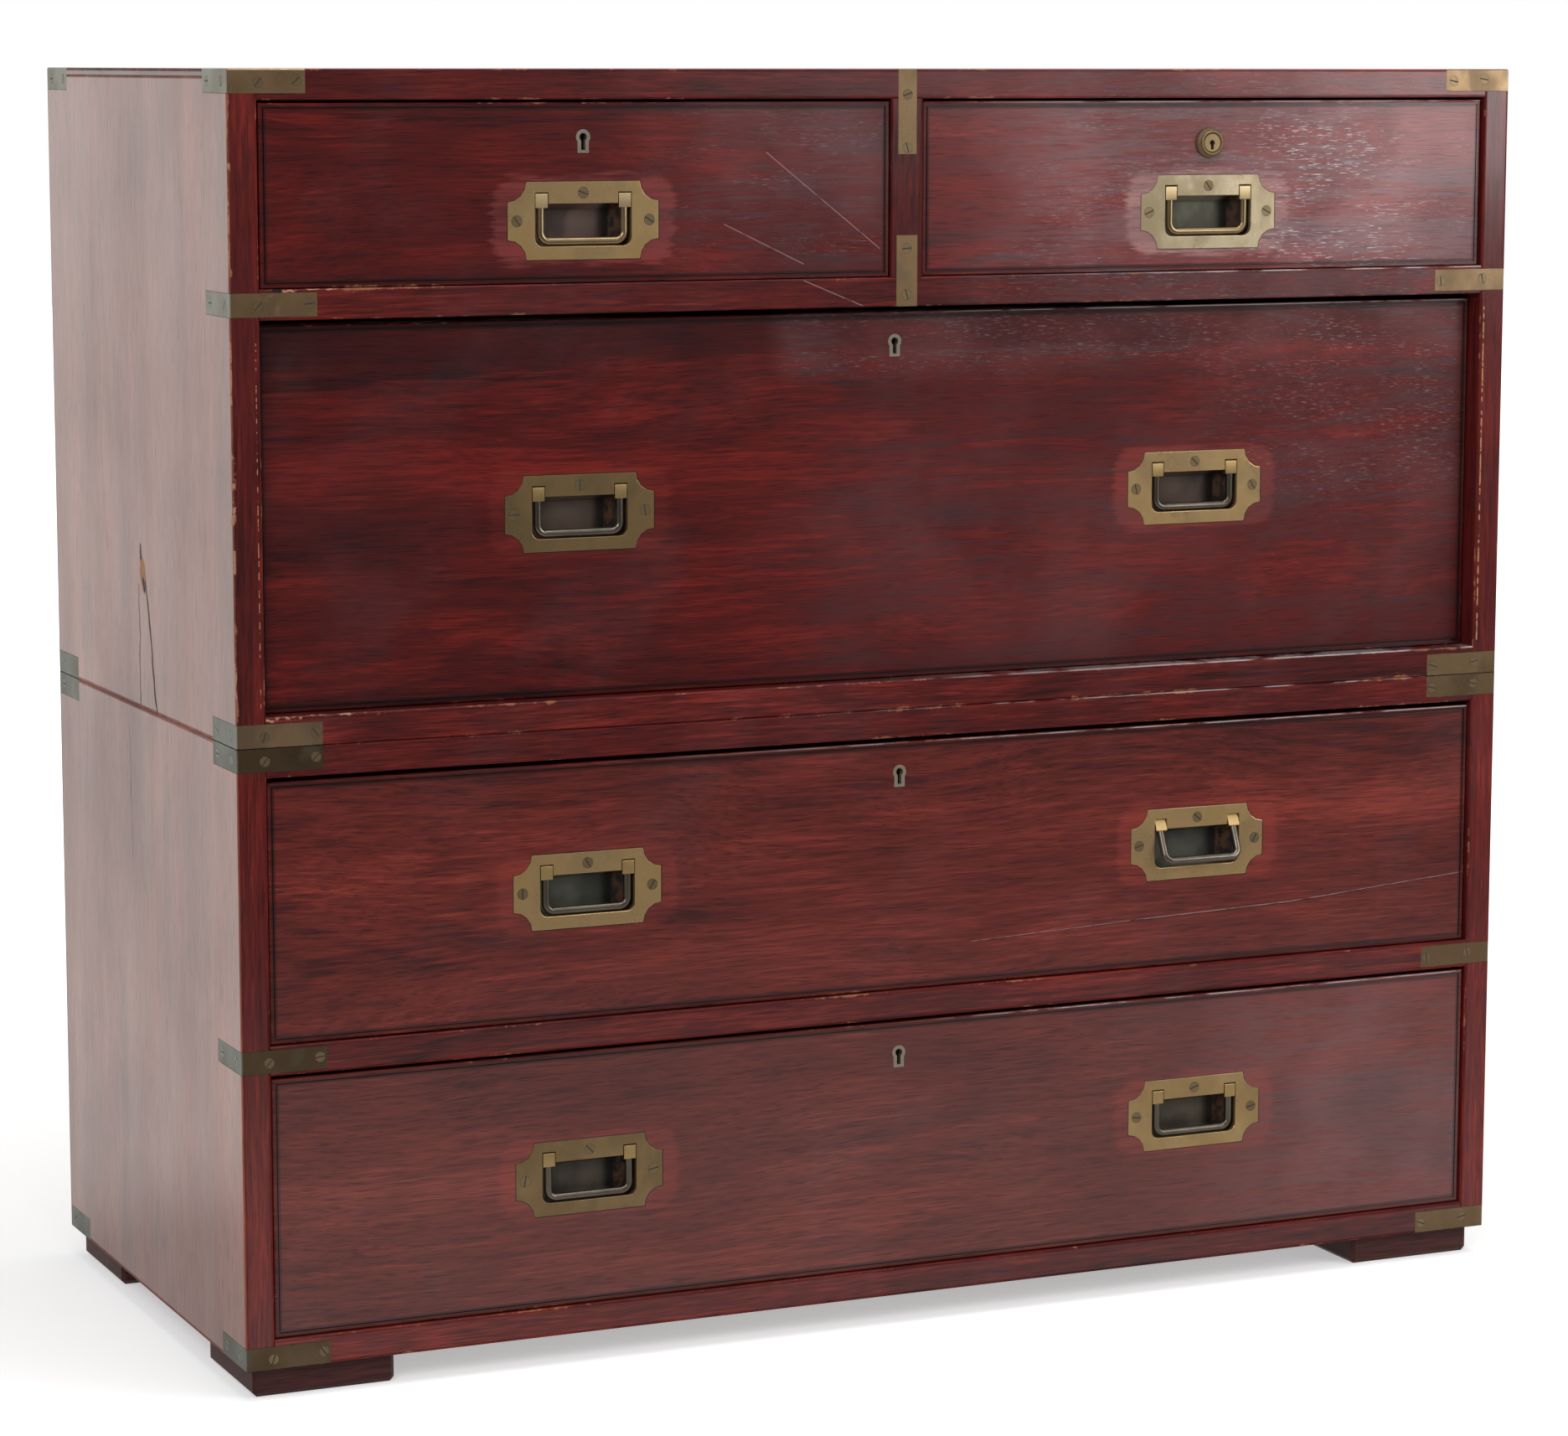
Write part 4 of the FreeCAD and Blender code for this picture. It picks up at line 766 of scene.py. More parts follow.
# %% Where the pulls are
def front_middles(drawer):
    """The middles of the pull plates of a drawer, from its plates' box."""
    low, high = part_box(f"{drawer}_pull_plates")
    z, y = (low.z + high.z) / 2, low.y
    if high.x - low.x < 2 * PLATE_SIZE[0]:
        return [Vector(((low.x + high.x) / 2, y, z))]
    half = PLATE_SIZE[0] / 2
    return [Vector((low.x + half, y, z)), Vector((high.x - half, y, z))]


# %% Drawer fronts
HAIRLINE = (58, 283.6), (190, 289.0), (330, 293.5), (484.1, 305.5)


def hairline(lift, widths):
    """The crack across the middle drawer, from point to point, raised by lift."""
    return on_front(-223, *[(x0, z0 + lift, x1, z1 + lift, width) for (x0, z0), (x1, z1), width
                            in zip(HAIRLINE, HAIRLINE[1:], widths)])


DRAWERS = {
    "top_left_drawer": dict(
        seed=21.0, tones=FRONT_RED, bands=0.6, sway=0.05, rings=0.8, halo=(PINK_HALO, 0.30, 0.30),
        bloom_and_sheen=[bloom_and_sheen_patch(-85, 855, 50, 20, 100, 0.42, 0.1)],
        scratches=on_front(-225.7, (-142.7, 815.8, -81.4, 787.0, 1.1), (-110, 866, -21.1, 797, 1.1))),
    "top_right_drawer": dict(
        seed=22.0, tones=PALED_AND_SHEEN_RED, bands=0.6, sway=0.03, rings=0.7, halo=(PALE_HALO_AND_SHEEN, 0.5, 0.5),
        dust_and_highlight_edge=(901.1 * MM, 0.0, 0.2),
        bloom_and_sheen=[bloom_and_sheen_patch(320, 840, 150, 50, 160, 1.15, 0.15), bloom_and_sheen_patch(360, 835, 30, 30, 60, 0.9, 0.7)]),
    "deep_drawer": dict(
        seed=23.0, tones=FRONT_RED, bands=0.55, sway=0.035, rings=0.6, halo=(RED_HALO, 0.12, 0.42),
        shade_above=722 * MM, dust_and_highlight_edge=(750 * MM, -0.1, 0.25),
        bloom_and_sheen=[bloom_and_sheen_patch(200, 735, 280, 12, 30, 0.4, 0.14), bloom_and_sheen_patch(400, 700, 60, 40, 120, 0.25, 0.16),
               bloom_and_sheen_patch(220, 570, 200, 20, 180, 0.22, 0.0)]),
    "middle_drawer": dict(
        seed=24.0, tones=FRONT_BROWN, bands=0.5, sway=0.05, rings=0.5, halo=(RED_HALO, 0.25, 0.35),
        dust_and_highlight_edge=(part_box("middle_drawer_front")[1].z - 0.8 * MM, -0.3, 0.2),
        # a dark core with a pale lip over it
        crack_sway=(0, 0, 3 * MM), cracks=hairline(0, (0.5, 0.7, 0.6)),
        scratches=hairline(0.5, (0.9, 1.4, 1.2))),
    "bottom_drawer": dict(
        seed=25.0, tones=BOTTOM_BROWN, bands=0.48, sway=0.03, rings=0.4, halo=(RED_HALO, 0.28, 0.32),
        dust_and_highlight_edge=(227.7 * MM, -0.02, 0.15), bloom_and_sheen=[bloom_and_sheen_patch(430, 150, 50, 60, 200, 0.6, 0.0)]),
}
for drawer, facts in DRAWERS.items():
    plates = [tuple(middle) for middle in front_middles(drawer)]
    node = f"{drawer}_front"
    finish_node(node, wood(f"waxed_mahogany_{node}", "X", plates=plates, box=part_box(node), wear=0.3,
                           quirk=True, **facts))
    print(f"{drawer}: pulls at x", [round(x / MM, 1) for x, y, z in plates])

# %% Drawer boxes and bottoms
WIDE_DRAWER = 0.6                   # wider than this, a box's sides lie beyond SIDES_FROM
SIDES_FROM = 0.47
lining = dict(coat=0.0, roughness=(0.5, 0.7))
for number, drawer in enumerate(DRAWERS):
    low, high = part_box(f"{drawer}_box")
    wide = high.x - low.x > WIDE_DRAWER
    finish_node(f"{drawer}_box",
                wood(f"plain_{drawer}_box", "X" if wide else "Y", 31.0 + number, LINING,
                     second=(0, SIDES_FROM, "Y") if wide else None, **lining))
    finish_node(f"{drawer}_bottom",
                wood(f"plain_{drawer}_bottom", "X", 41.0 + number, LINING, **lining))
print("drawers:", ", ".join(DRAWERS))


# %% [markdown]
# ## Brass that has been outdoors
# New brass is yellow and mirror bright. This brass is dull olive, with brown stains, fine rubbing
# marks, bright spots where hands reach it, and grey-green verdigris where they don't. It is metal
# under a thin dirty skin, so the shader stays partly metallic, and stains lower the metal's share.

# %% Brass
def brass(name, tones, stain, metal=(0.85, 0.5), roughness=(0.26, 0.44), seed=0.0, patches=(),
          relief=0.04, patch_metal=0.1, lacquer=0.35, rubbed=1.0, painted_light_scale=(1.0, 1.0)):
    """Old brass. tones are its dull and bright colours, stain the colour of its blotches; metal
    is the metal's share when clean and when stained, roughness that of bright and of dull brass.
    patches are (mask maker, colour, strength) that paint one region, such as verdigris;
    painted_light_scale scales the colour at the left and the right end of the chest, as painted
    light and shade."""
    material, pen, shader, place = new_finish(name)
    dull, bright = tones
    shifted = pen.vector("ADD", place, (seed * 1.7, seed * 0.9, seed * 2.3))
    cloud = pen.noise(shifted, (30, 30, 22), 3, 0.5)
    speck = pen.noise(shifted, (210, 210, 150), 2, 0.5)
    rub = pen.times(pen.minus(pen.noise(shifted, (60, 700, 700), 2, 0.6), 0.5), rubbed)
    share = pen.fade(pen.mix(0.12, cloud, speck, "FLOAT"), 0.33, 0.68)
    stained = pen.fade(pen.noise(shifted, (42, 60, 33), 2, 0.5), 0.56, 0.74)
    colour = pen.mix(pen.times(stained, 0.5), pen.mix(share, dull, bright), stain)
    colour = pen.mix(pen.fade(rub, 0.05, 0.25, 0.0, 0.06), colour, bright)
    if painted_light_scale != (1.0, 1.0):
        colour = pen.scaled(colour, pen.fade(pen.part(place, 0), *CHEST_MIDDLE, *painted_light_scale))
    metallic = pen.fade(stained, 0.0, 1.0, *metal)
    rough = pen.plus(pen.fade(share, 0.0, 1.0, roughness[1], roughness[0]), pen.times(rub, 0.03))
    clean = []
    for region, tint, strength in patches:
        mask = region(pen, place, cloud, speck)
        painted = pen.times(mask, strength)
        colour = pen.mix(painted, colour, tint)
        metallic = pen.times(metallic, pen.fade(painted, 0.0, 1.0, 1.0, patch_metal))
        rough = pen.plus(rough, pen.times(mask, 0.12 * strength))
        clean.append(pen.none_of(pen.times(mask, 1.0 - patch_metal)))
    pen.feed(shader.inputs["Base Color"], colour)
    pen.feed(shader.inputs["Metallic"], metallic)
    pen.feed(shader.inputs["Roughness"], rough)
    shader.inputs["Specular IOR Level"].default_value = 0.2
    shader.inputs["Coat Weight"].default_value = lacquer
    shader.inputs["Coat Roughness"].default_value = 0.3
    if clean:
        pen.feed(shader.inputs["Coat Weight"], pen.times(pen.all_of(*clean), lacquer))
    pen.feed(shader.inputs["Normal"], pen.bump(speck, relief))
    return material


def dimmed(tint, share):
    return tuple(part * share for part in tint)


# %% Regions on the straps
def on_sides(pen, place, cloud, speck):
    """Brass on the sides of the chest, which no hand polishes."""
    outer = pen.sum("GREATER_THAN", pen.sum("ABSOLUTE", pen.part(place, 0)), 507.4 * MM)
    return pen.all_of(outer, pen.fade(cloud, 0.2, 0.6, 0.6, 1.0))


STRAP_WIDTH, EDGE_GRIME = 16.7 * MM, 0.6 * MM


def along_straps(bases):
    """Dark grime along both edges of the leaves that stand on these heights."""
    levels = [level for base in bases for level in (base, base + STRAP_WIDTH)]

    def region(pen, place, cloud, speck):
        z = pen.part(place, 2)
        nearest = pen.fold("MINIMUM", [pen.sum("ABSOLUTE", pen.minus(z, level)) for level in levels])
        ragged = pen.plus(nearest, pen.times(speck, EDGE_GRIME))
        return pen.within(ragged, EDGE_GRIME * 0.8, EDGE_GRIME * 1.3)
    return region


def low_on_left(pen, place, cloud, speck):
    """The upper case's lowest strap on the left, darker than the rest."""
    return pen.all_of(pen.within(pen.part(place, 2), 0.50, 0.60), pen.fade(cloud, 0.3, 0.6, 0.5, 1.0),
                      pen.within(pen.part(place, 0), -0.1, 0.1))


# %% Straps and divider plates
STRAP_TONES, STRAP_STAIN = ((0.215, 0.138, 0.068), (0.330, 0.212, 0.108)), (0.075, 0.062, 0.035)
VERDIGRIS = (0.195, 0.218, 0.182)
UPPER_STRAPS, LOWER_STRAPS = (0.9081, 0.75745, 0.4623), (0.4453, 0.23365, 0.022)    # their bases
LOWER_DIM = 0.62                    # the lower case's brass is this much darker
# the straps' colour is scaled from left to right as painted light and shade
finish_node("upper_corner_straps", brass(
    "old_brass_upper_straps", STRAP_TONES, STRAP_STAIN, seed=1.0, painted_light_scale=(1.12, 0.86),
    patches=[(low_on_left, (0.055, 0.034, 0.020), 0.9), (on_sides, VERDIGRIS, 0.85),
             (along_straps(UPPER_STRAPS), DIRT_AND_SHADE, 0.9)]))
finish_node("lower_corner_straps", brass(
    "old_brass_lower_straps", tuple(dimmed(tone, LOWER_DIM) for tone in STRAP_TONES),
    (0.055, 0.050, 0.038), seed=2.0, painted_light_scale=(0.66, 1.15),
    patches=[(on_sides, dimmed(VERDIGRIS, LOWER_DIM), 0.85),
             (along_straps(LOWER_STRAPS), DIRT_AND_SHADE, 0.9)]))
finish_node("divider_plates", brass("old_brass_divider_plates", STRAP_TONES, STRAP_STAIN, seed=3.0))
print("straps stand at", [round(base / MM, 1) for base in UPPER_STRAPS + LOWER_STRAPS])


# %% [markdown]
# ## The sunk pulls
# A sunk pull is a cast plate with a cup behind it, let in flush, so a hand finds the bail in a
# hollow. After filing and a century of rubbing its edges are never knife sharp: they catch a
# thin line of light. The solid's edges are sharp. A Bevel modifier would round every edge of the
# copy, inside the cup too, so the copy's front rim is picked out and bevelled with bmesh. The
# cup is darker than the plate, set per drawer partly as painted light and shade, and darkest as
# a painted shadow near its right-hand wall. Copper shows on that wall where the lacquer is gone,
# darkened there as painted shade.

# %% A plate with eased edges
EASE = 0.45 * MM
MERGE = 0.001 * MM


def in_scene(name, data):
    """An object for a mesh, a lamp or a camera, linked to the scene."""
    made = bpy.data.objects.new(name, data)
    bpy.context.scene.collection.objects.link(made)
    return made


def hand_over(piece, body, slot, *replaced):
    """Gives a piece its body and hides the solids it stands in for; slot is not used."""
    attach(piece, body)
    if replaced:
        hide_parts(*replaced)


def eased(node, name):
    """A copy of a solid whose front edges are rounded, as a cast and filed plate's are."""
    plates = bmesh.new()
    plates.from_mesh(NODES[node].data)
    bmesh.ops.remove_doubles(plates, verts=plates.verts, dist=MERGE)
    bmesh.ops.dissolve_limit(plates, angle_limit=math.radians(0.5), verts=plates.verts,
                             edges=plates.edges)
    front = min(vertex.co.y for vertex in plates.verts)
    rim = [edge for edge in plates.edges
           if all(vertex.co.y - front < 0.01 * MM for vertex in edge.verts)
           and len(edge.link_faces) == 2 and edge.calc_face_angle() > 0.5]
    bmesh.ops.bevel(plates, geom=rim, offset=EASE, segments=3, profile=0.5, affect="EDGES",
                    clamp_overlap=True)
    bmesh.ops.recalc_face_normals(plates, faces=plates.faces)
    mesh = bpy.data.meshes.new(name)
    plates.to_mesh(mesh)
    print(name, len(rim), "rim edges,", sum(not edge.is_manifold for edge in plates.edges),
          "open edges,", len(mesh.polygons), "faces")
    plates.free()
    return in_scene(name, mesh)


# %% Regions of a cup
def inside_cup(face):
    """Everything more than a plate's thickness behind a drawer's face."""
    def region(pen, place, cloud, speck):
        return pen.fade(pen.part(place, 1), face + 2.2 * MM, face + 4.0 * MM)
    return region


def mottled(face):
    """Darker clouds in a cup."""
    def region(pen, place, cloud, speck):
        return pen.all_of(inside_cup(face)(pen, place, cloud, speck), pen.fade(cloud, 0.42, 0.62))
    return region


def toward_end(face, middle, start, end, broken=False):
    """The part of a cup from start to end beyond its middle, which lies at +middle or -middle."""
    def region(pen, place, cloud, speck):
        x = pen.part(place, 0)
        beyond = pen.minus(x, pen.times(pen.sum("SIGN", x), middle))
        masks = [pen.fade(beyond, start, end), inside_cup(face)(pen, place, cloud, speck)]
        if broken:
            masks.append(pen.fade(speck, 0.40, 0.60))
        return pen.all_of(*masks)
    return region


# %% Pull plates, locks and bolts
PULL_TONES = ((0.264, 0.172, 0.073), (0.367, 0.247, 0.116))
PALE_BRASS = ((0.330, 0.285, 0.215), (0.430, 0.380, 0.300))
# the top right plates are greyer, partly as a painted reflection of the right-hand lamp
LAMP_GREYED_TONES = ((0.240, 0.188, 0.110), (0.430, 0.355, 0.230))
STEEL_TONES = ((0.09, 0.085, 0.08), (0.20, 0.19, 0.18))
CUP_COPPER_AND_SHADE, CUP_SHADE = (0.110, 0.042, 0.016), (0.006, 0.0045, 0.004)
# each drawer's plates and cups: tones, painted light at the left and the right end, and colour of
# the cup, set per drawer partly as painted light and shade
PULLS = {"top_left_drawer": (PULL_TONES, (1.45, 1.45), (0.092, 0.060, 0.054)),
         "top_right_drawer": (LAMP_GREYED_TONES, (1.25, 1.25), (0.130, 0.126, 0.090)),
         "deep_drawer": (PULL_TONES, (0.82, 1.40), (0.072, 0.048, 0.038)),
         "middle_drawer": (PULL_TONES, (1.50, 1.50), (0.054, 0.060, 0.052)),
         "bottom_drawer": (PULL_TONES, (0.76, 1.32), (0.065, 0.055, 0.043))}
for number, (drawer, (tones, painted_light_scale, cup)) in enumerate(PULLS.items()):
    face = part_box(f"{drawer}_front")[0].y
    middle = abs(front_middles(drawer)[0].x)
    plate_brass = brass(
        f"old_brass_{drawer}_plates", tones, (0.150, 0.105, 0.050), seed=5.0 + number,
        metal=(0.8, 0.65), painted_light_scale=painted_light_scale,
        patches=[(inside_cup(face), cup, 0.95), (mottled(face), dimmed(cup, 0.35), 0.7),
                 # a painted shadow near the cup's right-hand wall, and on that wall copper darkened as
                 # painted shade
                 (toward_end(face, middle, 13 * MM, 21 * MM), CUP_SHADE, 0.85),
                 (toward_end(face, middle, 23.5 * MM, 25.5 * MM, True), CUP_COPPER_AND_SHADE, 0.6)])
    piece = eased(f"{drawer}_pull_plates", f"{drawer}_pull_plates_eased")
    piece.data.materials.append(plate_brass)
    hand_over(piece, drawer, "pull_brass", f"{drawer}_pull_plates")
    finish_node(f"{drawer}_lock", brass(f"old_brass_{drawer}_lock", PALE_BRASS,
                                        (0.190, 0.165, 0.125), seed=11.0 + number))
    finish_node(f"{drawer}_bolt", brass(f"lock_steel_{drawer}", STEEL_TONES, (0.07, 0.04, 0.025),
                                        metal=(0.95, 0.6), seed=17.0 + number))
print("brass finishes:", len([m for m in bpy.data.materials if "brass" in m.name]))


# %% [markdown]
# ## Bails by Geometry Nodes
# A bail is the swinging handle of a flush pull: a thin rod bent into a U, with a square knuckle
# on each end and a pin that turns in the plate. It could be modelled once and copied, but its
# shape follows a rule, and eight are needed at different heights and turns. So one tree draws it
# from sizes: four corner points, a fillet, a round section swept along them, two knuckles and
# the pins. The eight modifiers differ only in where they put it and how far it has turned.

# %% A pen for geometry
class GeometryPen(Pen):
    def tag(self, geometry, name, value):
        """Notes a number on every point, for the material to read."""
        return self.put("GeometryNodeStoreNamedAttribute",
                        {"Geometry": geometry, "Name": name, "Value": value},
                        data_type="FLOAT", domain="POINT")

    def join(self, *parts):
        made = self.node("GeometryNodeJoinGeometry")
        for part in parts:
            self.feed(made.inputs[0], part)
        return made.outputs[0]

    def moved(self, geometry, shift=None, turn=None):
        return self.put("GeometryNodeTransform",
                        {"Geometry": geometry, "Translation": shift, "Rotation": turn})

    def line(self, start, end):
        """A straight path along X."""
        return self.put("GeometryNodeCurvePrimitiveLine",
                        {"Start": self.xyz(start), "End": self.xyz(end)})

    def circle(self, diameter, sides):
        return self.put("GeometryNodeCurvePrimitiveCircle",
                        {"Resolution": sides, "Radius": self.times(diameter, 0.5)})

    def filleted(self, path, radius, steps):
        return self.put("GeometryNodeFilletCurve",
                        {"Curve": path, "Radius": radius, "Count": steps}, mode="POLY")

    def swept(self, path, section):
        return self.put("GeometryNodeCurveToMesh",
                        {"Curve": path, "Profile Curve": section, "Fill Caps": True})

    def finished(self, geometry, material):
        """Real faces in a material, since an export drops instances."""
        real = self.put("GeometryNodeRealizeInstances", {"Geometry": geometry})
        return self.put("GeometryNodeSetMaterial", {"Geometry": real, "Material": material})


# %% The bail tree
BAIL_INPUTS = [
    ("Geometry", "Geometry", None), ("Span", "Float", 62.5 * MM), ("Drop", "Float", 28.2 * MM),
    ("Rod Diameter", "Float", 5.6 * MM), ("Bend Radius", "Float", 6.5 * MM),
    ("Knuckle Width", "Float", 9.0 * MM), ("Knuckle Depth", "Float", 8.0 * MM),
    ("Knuckle Height", "Float", 10.0 * MM), ("Knuckle Ease", "Float", 0.5 * MM),
    ("Pin Diameter", "Float", 3.0 * MM), ("Pin Reach", "Float", 76.7 * MM),
    ("Rod Offset", "Float", -1.0 * MM), ("Pivot", "Vector", (0, 0, 0)), ("Turn", "Float", 0.0)]


def make_bail_tree(material):
    tree, given, result = new_group("bail", BAIL_INPUTS, [("Geometry", "Geometry")],
                                    "GeometryNodeTree")
    pen = GeometryPen(tree)
    half = pen.times(given["Span"], 0.5)
    # the U: points 0 and 3 are at the knuckles, 1 and 2 at the grip
    from_middle = pen.minus(pen.put("GeometryNodeInputIndex", {}), 1.5)
    hung = pen.sum("LESS_THAN", pen.sum("ABSOLUTE", from_middle), 1.0)
    corner = pen.xyz(pen.times(pen.sum("SIGN", from_middle), half), given["Rod Offset"],
                     pen.times(hung, given["Drop"], -1.0))
    points = pen.put("GeometryNodeMeshLine", {"Count": 4})
    points = pen.put("GeometryNodeSetPosition", {"Geometry": points, "Position": corner})
    path = pen.put("GeometryNodeMeshToCurve", {"Mesh": points})
    rod = pen.swept(pen.filleted(path, given["Bend Radius"], 10),
                    pen.circle(given["Rod Diameter"], 20))
    rod = pen.put("GeometryNodeSetShadeSmooth", {"Geometry": rod, "Shade Smooth": True})
    parts = [pen.tag(rod, "knuckle", 0.0)]
    # a knuckle: a rectangle with eased corners swept along the pin's axis
    face = pen.put("GeometryNodeCurvePrimitiveQuadrilateral",
                   {"Width": given["Knuckle Depth"], "Height": given["Knuckle Height"]},
                   mode="RECTANGLE")
    face = pen.filleted(face, given["Knuckle Ease"], 4)
    for sign in (-1, 1):
        start = pen.minus(pen.times(half, sign), pen.times(given["Knuckle Width"], 0.5))
        knuckle = pen.swept(pen.line(start, pen.plus(start, given["Knuckle Width"])), face)
        parts.append(pen.tag(knuckle, "knuckle", 1.0))
    reach = pen.times(given["Pin Reach"], 0.5)
    pin = pen.swept(pen.line(pen.times(reach, -1.0), reach), pen.circle(given["Pin Diameter"], 16))
    parts.append(pen.tag(pin, "knuckle", 0.5))
    whole = pen.moved(pen.join(*parts), given["Pivot"], pen.xyz(given["Turn"]))
    pen.feed(result["Geometry"], pen.finished(whole, material))
    return tree


# %% A plain mesh from a tree
def grown(name, tree, body, slot, base=None, replaced=(), **sizes):
    """Runs a tree on one object, keeps the result as a plain mesh and hands it to its body."""
    seedling = in_scene(f"{name}_seedling", base or bpy.data.meshes.new(f"{name}_seedling"))
    modifier = seedling.modifiers.new("tree", "NODES")
    modifier.node_group = tree
    identifiers = {item.name: item.identifier for item in tree.interface.items_tree
                   if item.in_out == "INPUT"}
    for label, value in sizes.items():
        modifier[identifiers[label.replace("_", " ")]] = value
    evaluated = seedling.evaluated_get(bpy.context.evaluated_depsgraph_get())
    mesh = bpy.data.meshes.new_from_object(evaluated)
    seedling.modifiers.remove(modifier)
    bpy.data.objects.remove(seedling)
    mesh.name = name
    piece = in_scene(name, mesh)
    hand_over(piece, body, slot, *replaced)
    return piece


# %% Bail brass
def knuckles(pen, place, cloud, speck):
    """The square knuckles, rubbed brighter than the rod, and brighter still as a painted highlight of
    the lamps.
    """
    return pen.attribute("knuckle")


def bail_brass(name, tones, knuckle, seed):
    return brass(name, tones, dimmed(tones[0], 0.6), metal=(1.0, 0.85), roughness=(0.31, 0.38),
                 seed=seed, relief=0.02, lacquer=0.2, patch_metal=1.0, rubbed=0.0,
                 patches=[(knuckles, knuckle, 0.9)])


# the top bails are golden and the others dark bronze: partly their own colours, partly lit and shaded
# copies of one brass, as the top ones catch the lamps
GOLDEN_AND_LIT = bail_brass("lit_golden_bail_brass", ((0.310, 0.225, 0.118), (0.400, 0.295, 0.162)),
                    (0.640, 0.480, 0.265), 31.0)
BRONZED_AND_SHADED = bail_brass("shaded_bronzed_bail_brass", ((0.140, 0.118, 0.095), (0.200, 0.170, 0.135)),
                     (0.520, 0.360, 0.150), 33.0)
BAIL_TREES = {metal: make_bail_tree(metal) for metal in (GOLDEN_AND_LIT, BRONZED_AND_SHADED)}
print("bail trees:", len(BAIL_TREES), "of", len(BAIL_TREES[GOLDEN_AND_LIT].nodes), "nodes")

# %% Hang the eight bails
# the pivot behind and above the middle of its plate, and how far the one stiff bail stands open
PIVOT_BACK, PIVOT_UP, OPEN_TURN = 4.0 * MM, 13.8 * MM, math.radians(25.2)
for name in [name for name in NODES if "_bail" in name]:
    drawer = name.split("_bail")[0]
    middle = front_middles(drawer)[-1 if name.endswith("_right") else 0]
    piece = grown(f"{name}_rod", BAIL_TREES[GOLDEN_AND_LIT if drawer.startswith("top") else BRONZED_AND_SHADED], name,
                  "bail_brass", replaced=[name],
                  Pivot=tuple(middle + Vector((0, PIVOT_BACK, PIVOT_UP))),
                  Turn=-OPEN_TURN if name == "middle_drawer_bail_right" else 0.0)
    low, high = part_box(name)
    axes = list(zip(*[vertex.co for vertex in piece.data.vertices]))
    print(f"{name}: {len(piece.data.polygons)} faces, leaves its solid by",
          [round((min(values) - a) / MM, 2) for values, a in zip(axes, low)],
          [round((max(values) - b) / MM, 2) for values, b in zip(axes, high)])


# %% [markdown]
# ## Screws
# Every strap leaf is held by two slotted screws and every pull plate by three. They are all the
# same little disc with a slot, so one screw is modelled in a tree and placed on points. The
# points are a bare mesh with one direction each, and every slot is turned at random, because
# nobody lines up slots in the field. The seed is fixed, so the turns are the same each time.

# %% The screw tree
SCREW_DEPTH = 1.6 * MM


def make_screw_tree(material):
    tree, given, result = new_group(
        "slotted_screws",
        [("Geometry", "Geometry", None), ("Head Diameter", "Float", 7.2 * MM),
         ("Proud", "Float", 0.15 * MM), ("Slot Width", "Float", 1.0 * MM), ("Seed", "Int", 1)],
        [("Geometry", "Geometry")], "GeometryNodeTree")
    pen = GeometryPen(tree)
    radius = pen.times(given["Head Diameter"], 0.5)

    def disc(size, top):
        made = pen.put("GeometryNodeMeshCylinder",
                       {"Vertices": 28, "Radius": size, "Depth": SCREW_DEPTH})
        return pen.moved(made, pen.xyz(0, 0, pen.minus(top, SCREW_DEPTH / 2)))

    slot = pen.xyz(pen.times(given["Head Diameter"], 1.2), given["Slot Width"], 3 * SCREW_DEPTH)
    cut = pen.node("GeometryNodeMeshBoolean", operation="DIFFERENCE")
    pen.feed(cut.inputs[0], disc(radius, given["Proud"]))
    pen.feed(cut.inputs[1], pen.put("GeometryNodeMeshCube", {"Size": slot}))
    # old dirt fills the countersink: it shows in the slot and as a thin ring round the head, and in
    # the slot, which is barely cut, the dark also stands as painted shade
    filling = disc(pen.times(radius, 1.06), pen.times(given["Proud"], 0.3))
    screw = pen.join(pen.tag(cut.outputs[0], "dirt", 0.0), pen.tag(filling, "dirt", 1.0))
    facing = pen.put("GeometryNodeInputNamedAttribute", {"Name": "facing"}, 0,
                     data_type="FLOAT_VECTOR")
    turn = pen.put("FunctionNodeRandomValue", {2: 0.0, 3: math.pi, "Seed": given["Seed"]}, 1,
                   data_type="FLOAT")
    turn = pen.put("FunctionNodeEulerToRotation", {0: pen.xyz(0, 0, turn)})
    upright = pen.put("FunctionNodeAlignRotationToVector", {"Vector": facing}, axis="Z")
    spun = pen.put("FunctionNodeRotateRotation", {"Rotation": upright, "Rotate By": turn},
                   rotation_space="LOCAL")
    placed = pen.put("GeometryNodeInstanceOnPoints",
                     {"Points": given["Geometry"], "Instance": screw, "Rotation": spun})
    pen.feed(result["Geometry"], pen.finished(placed, material))
    return tree


def points_mesh(name, places):
    """A mesh of loose points, each with the direction it faces."""
    mesh = bpy.data.meshes.new(name)
    mesh.from_pydata([place for place, _ in places], [], [])
    facing = mesh.attributes.new("facing", "FLOAT_VECTOR", "POINT")
    for value, (_, direction) in zip(facing.data, places):
        value.vector = direction
    return mesh


def screw_dirt_and_shade(pen, place, cloud, speck):
    """The dirt round a screw's head and in its slot, where the dark is also painted shade."""
    return pen.attribute("dirt")


SCREW_TREE = make_screw_tree(brass(
    "old_screws", ((0.185, 0.130, 0.068), (0.265, 0.190, 0.102)), (0.10, 0.075, 0.05), seed=41.0,
    metal=(0.8, 0.6), roughness=(0.3, 0.45),
    patches=[(on_sides, VERDIGRIS, 0.85), (screw_dirt_and_shade, (0.046, 0.032, 0.020), 1.0)]))
print("screw tree:", len(SCREW_TREE.nodes), "nodes")

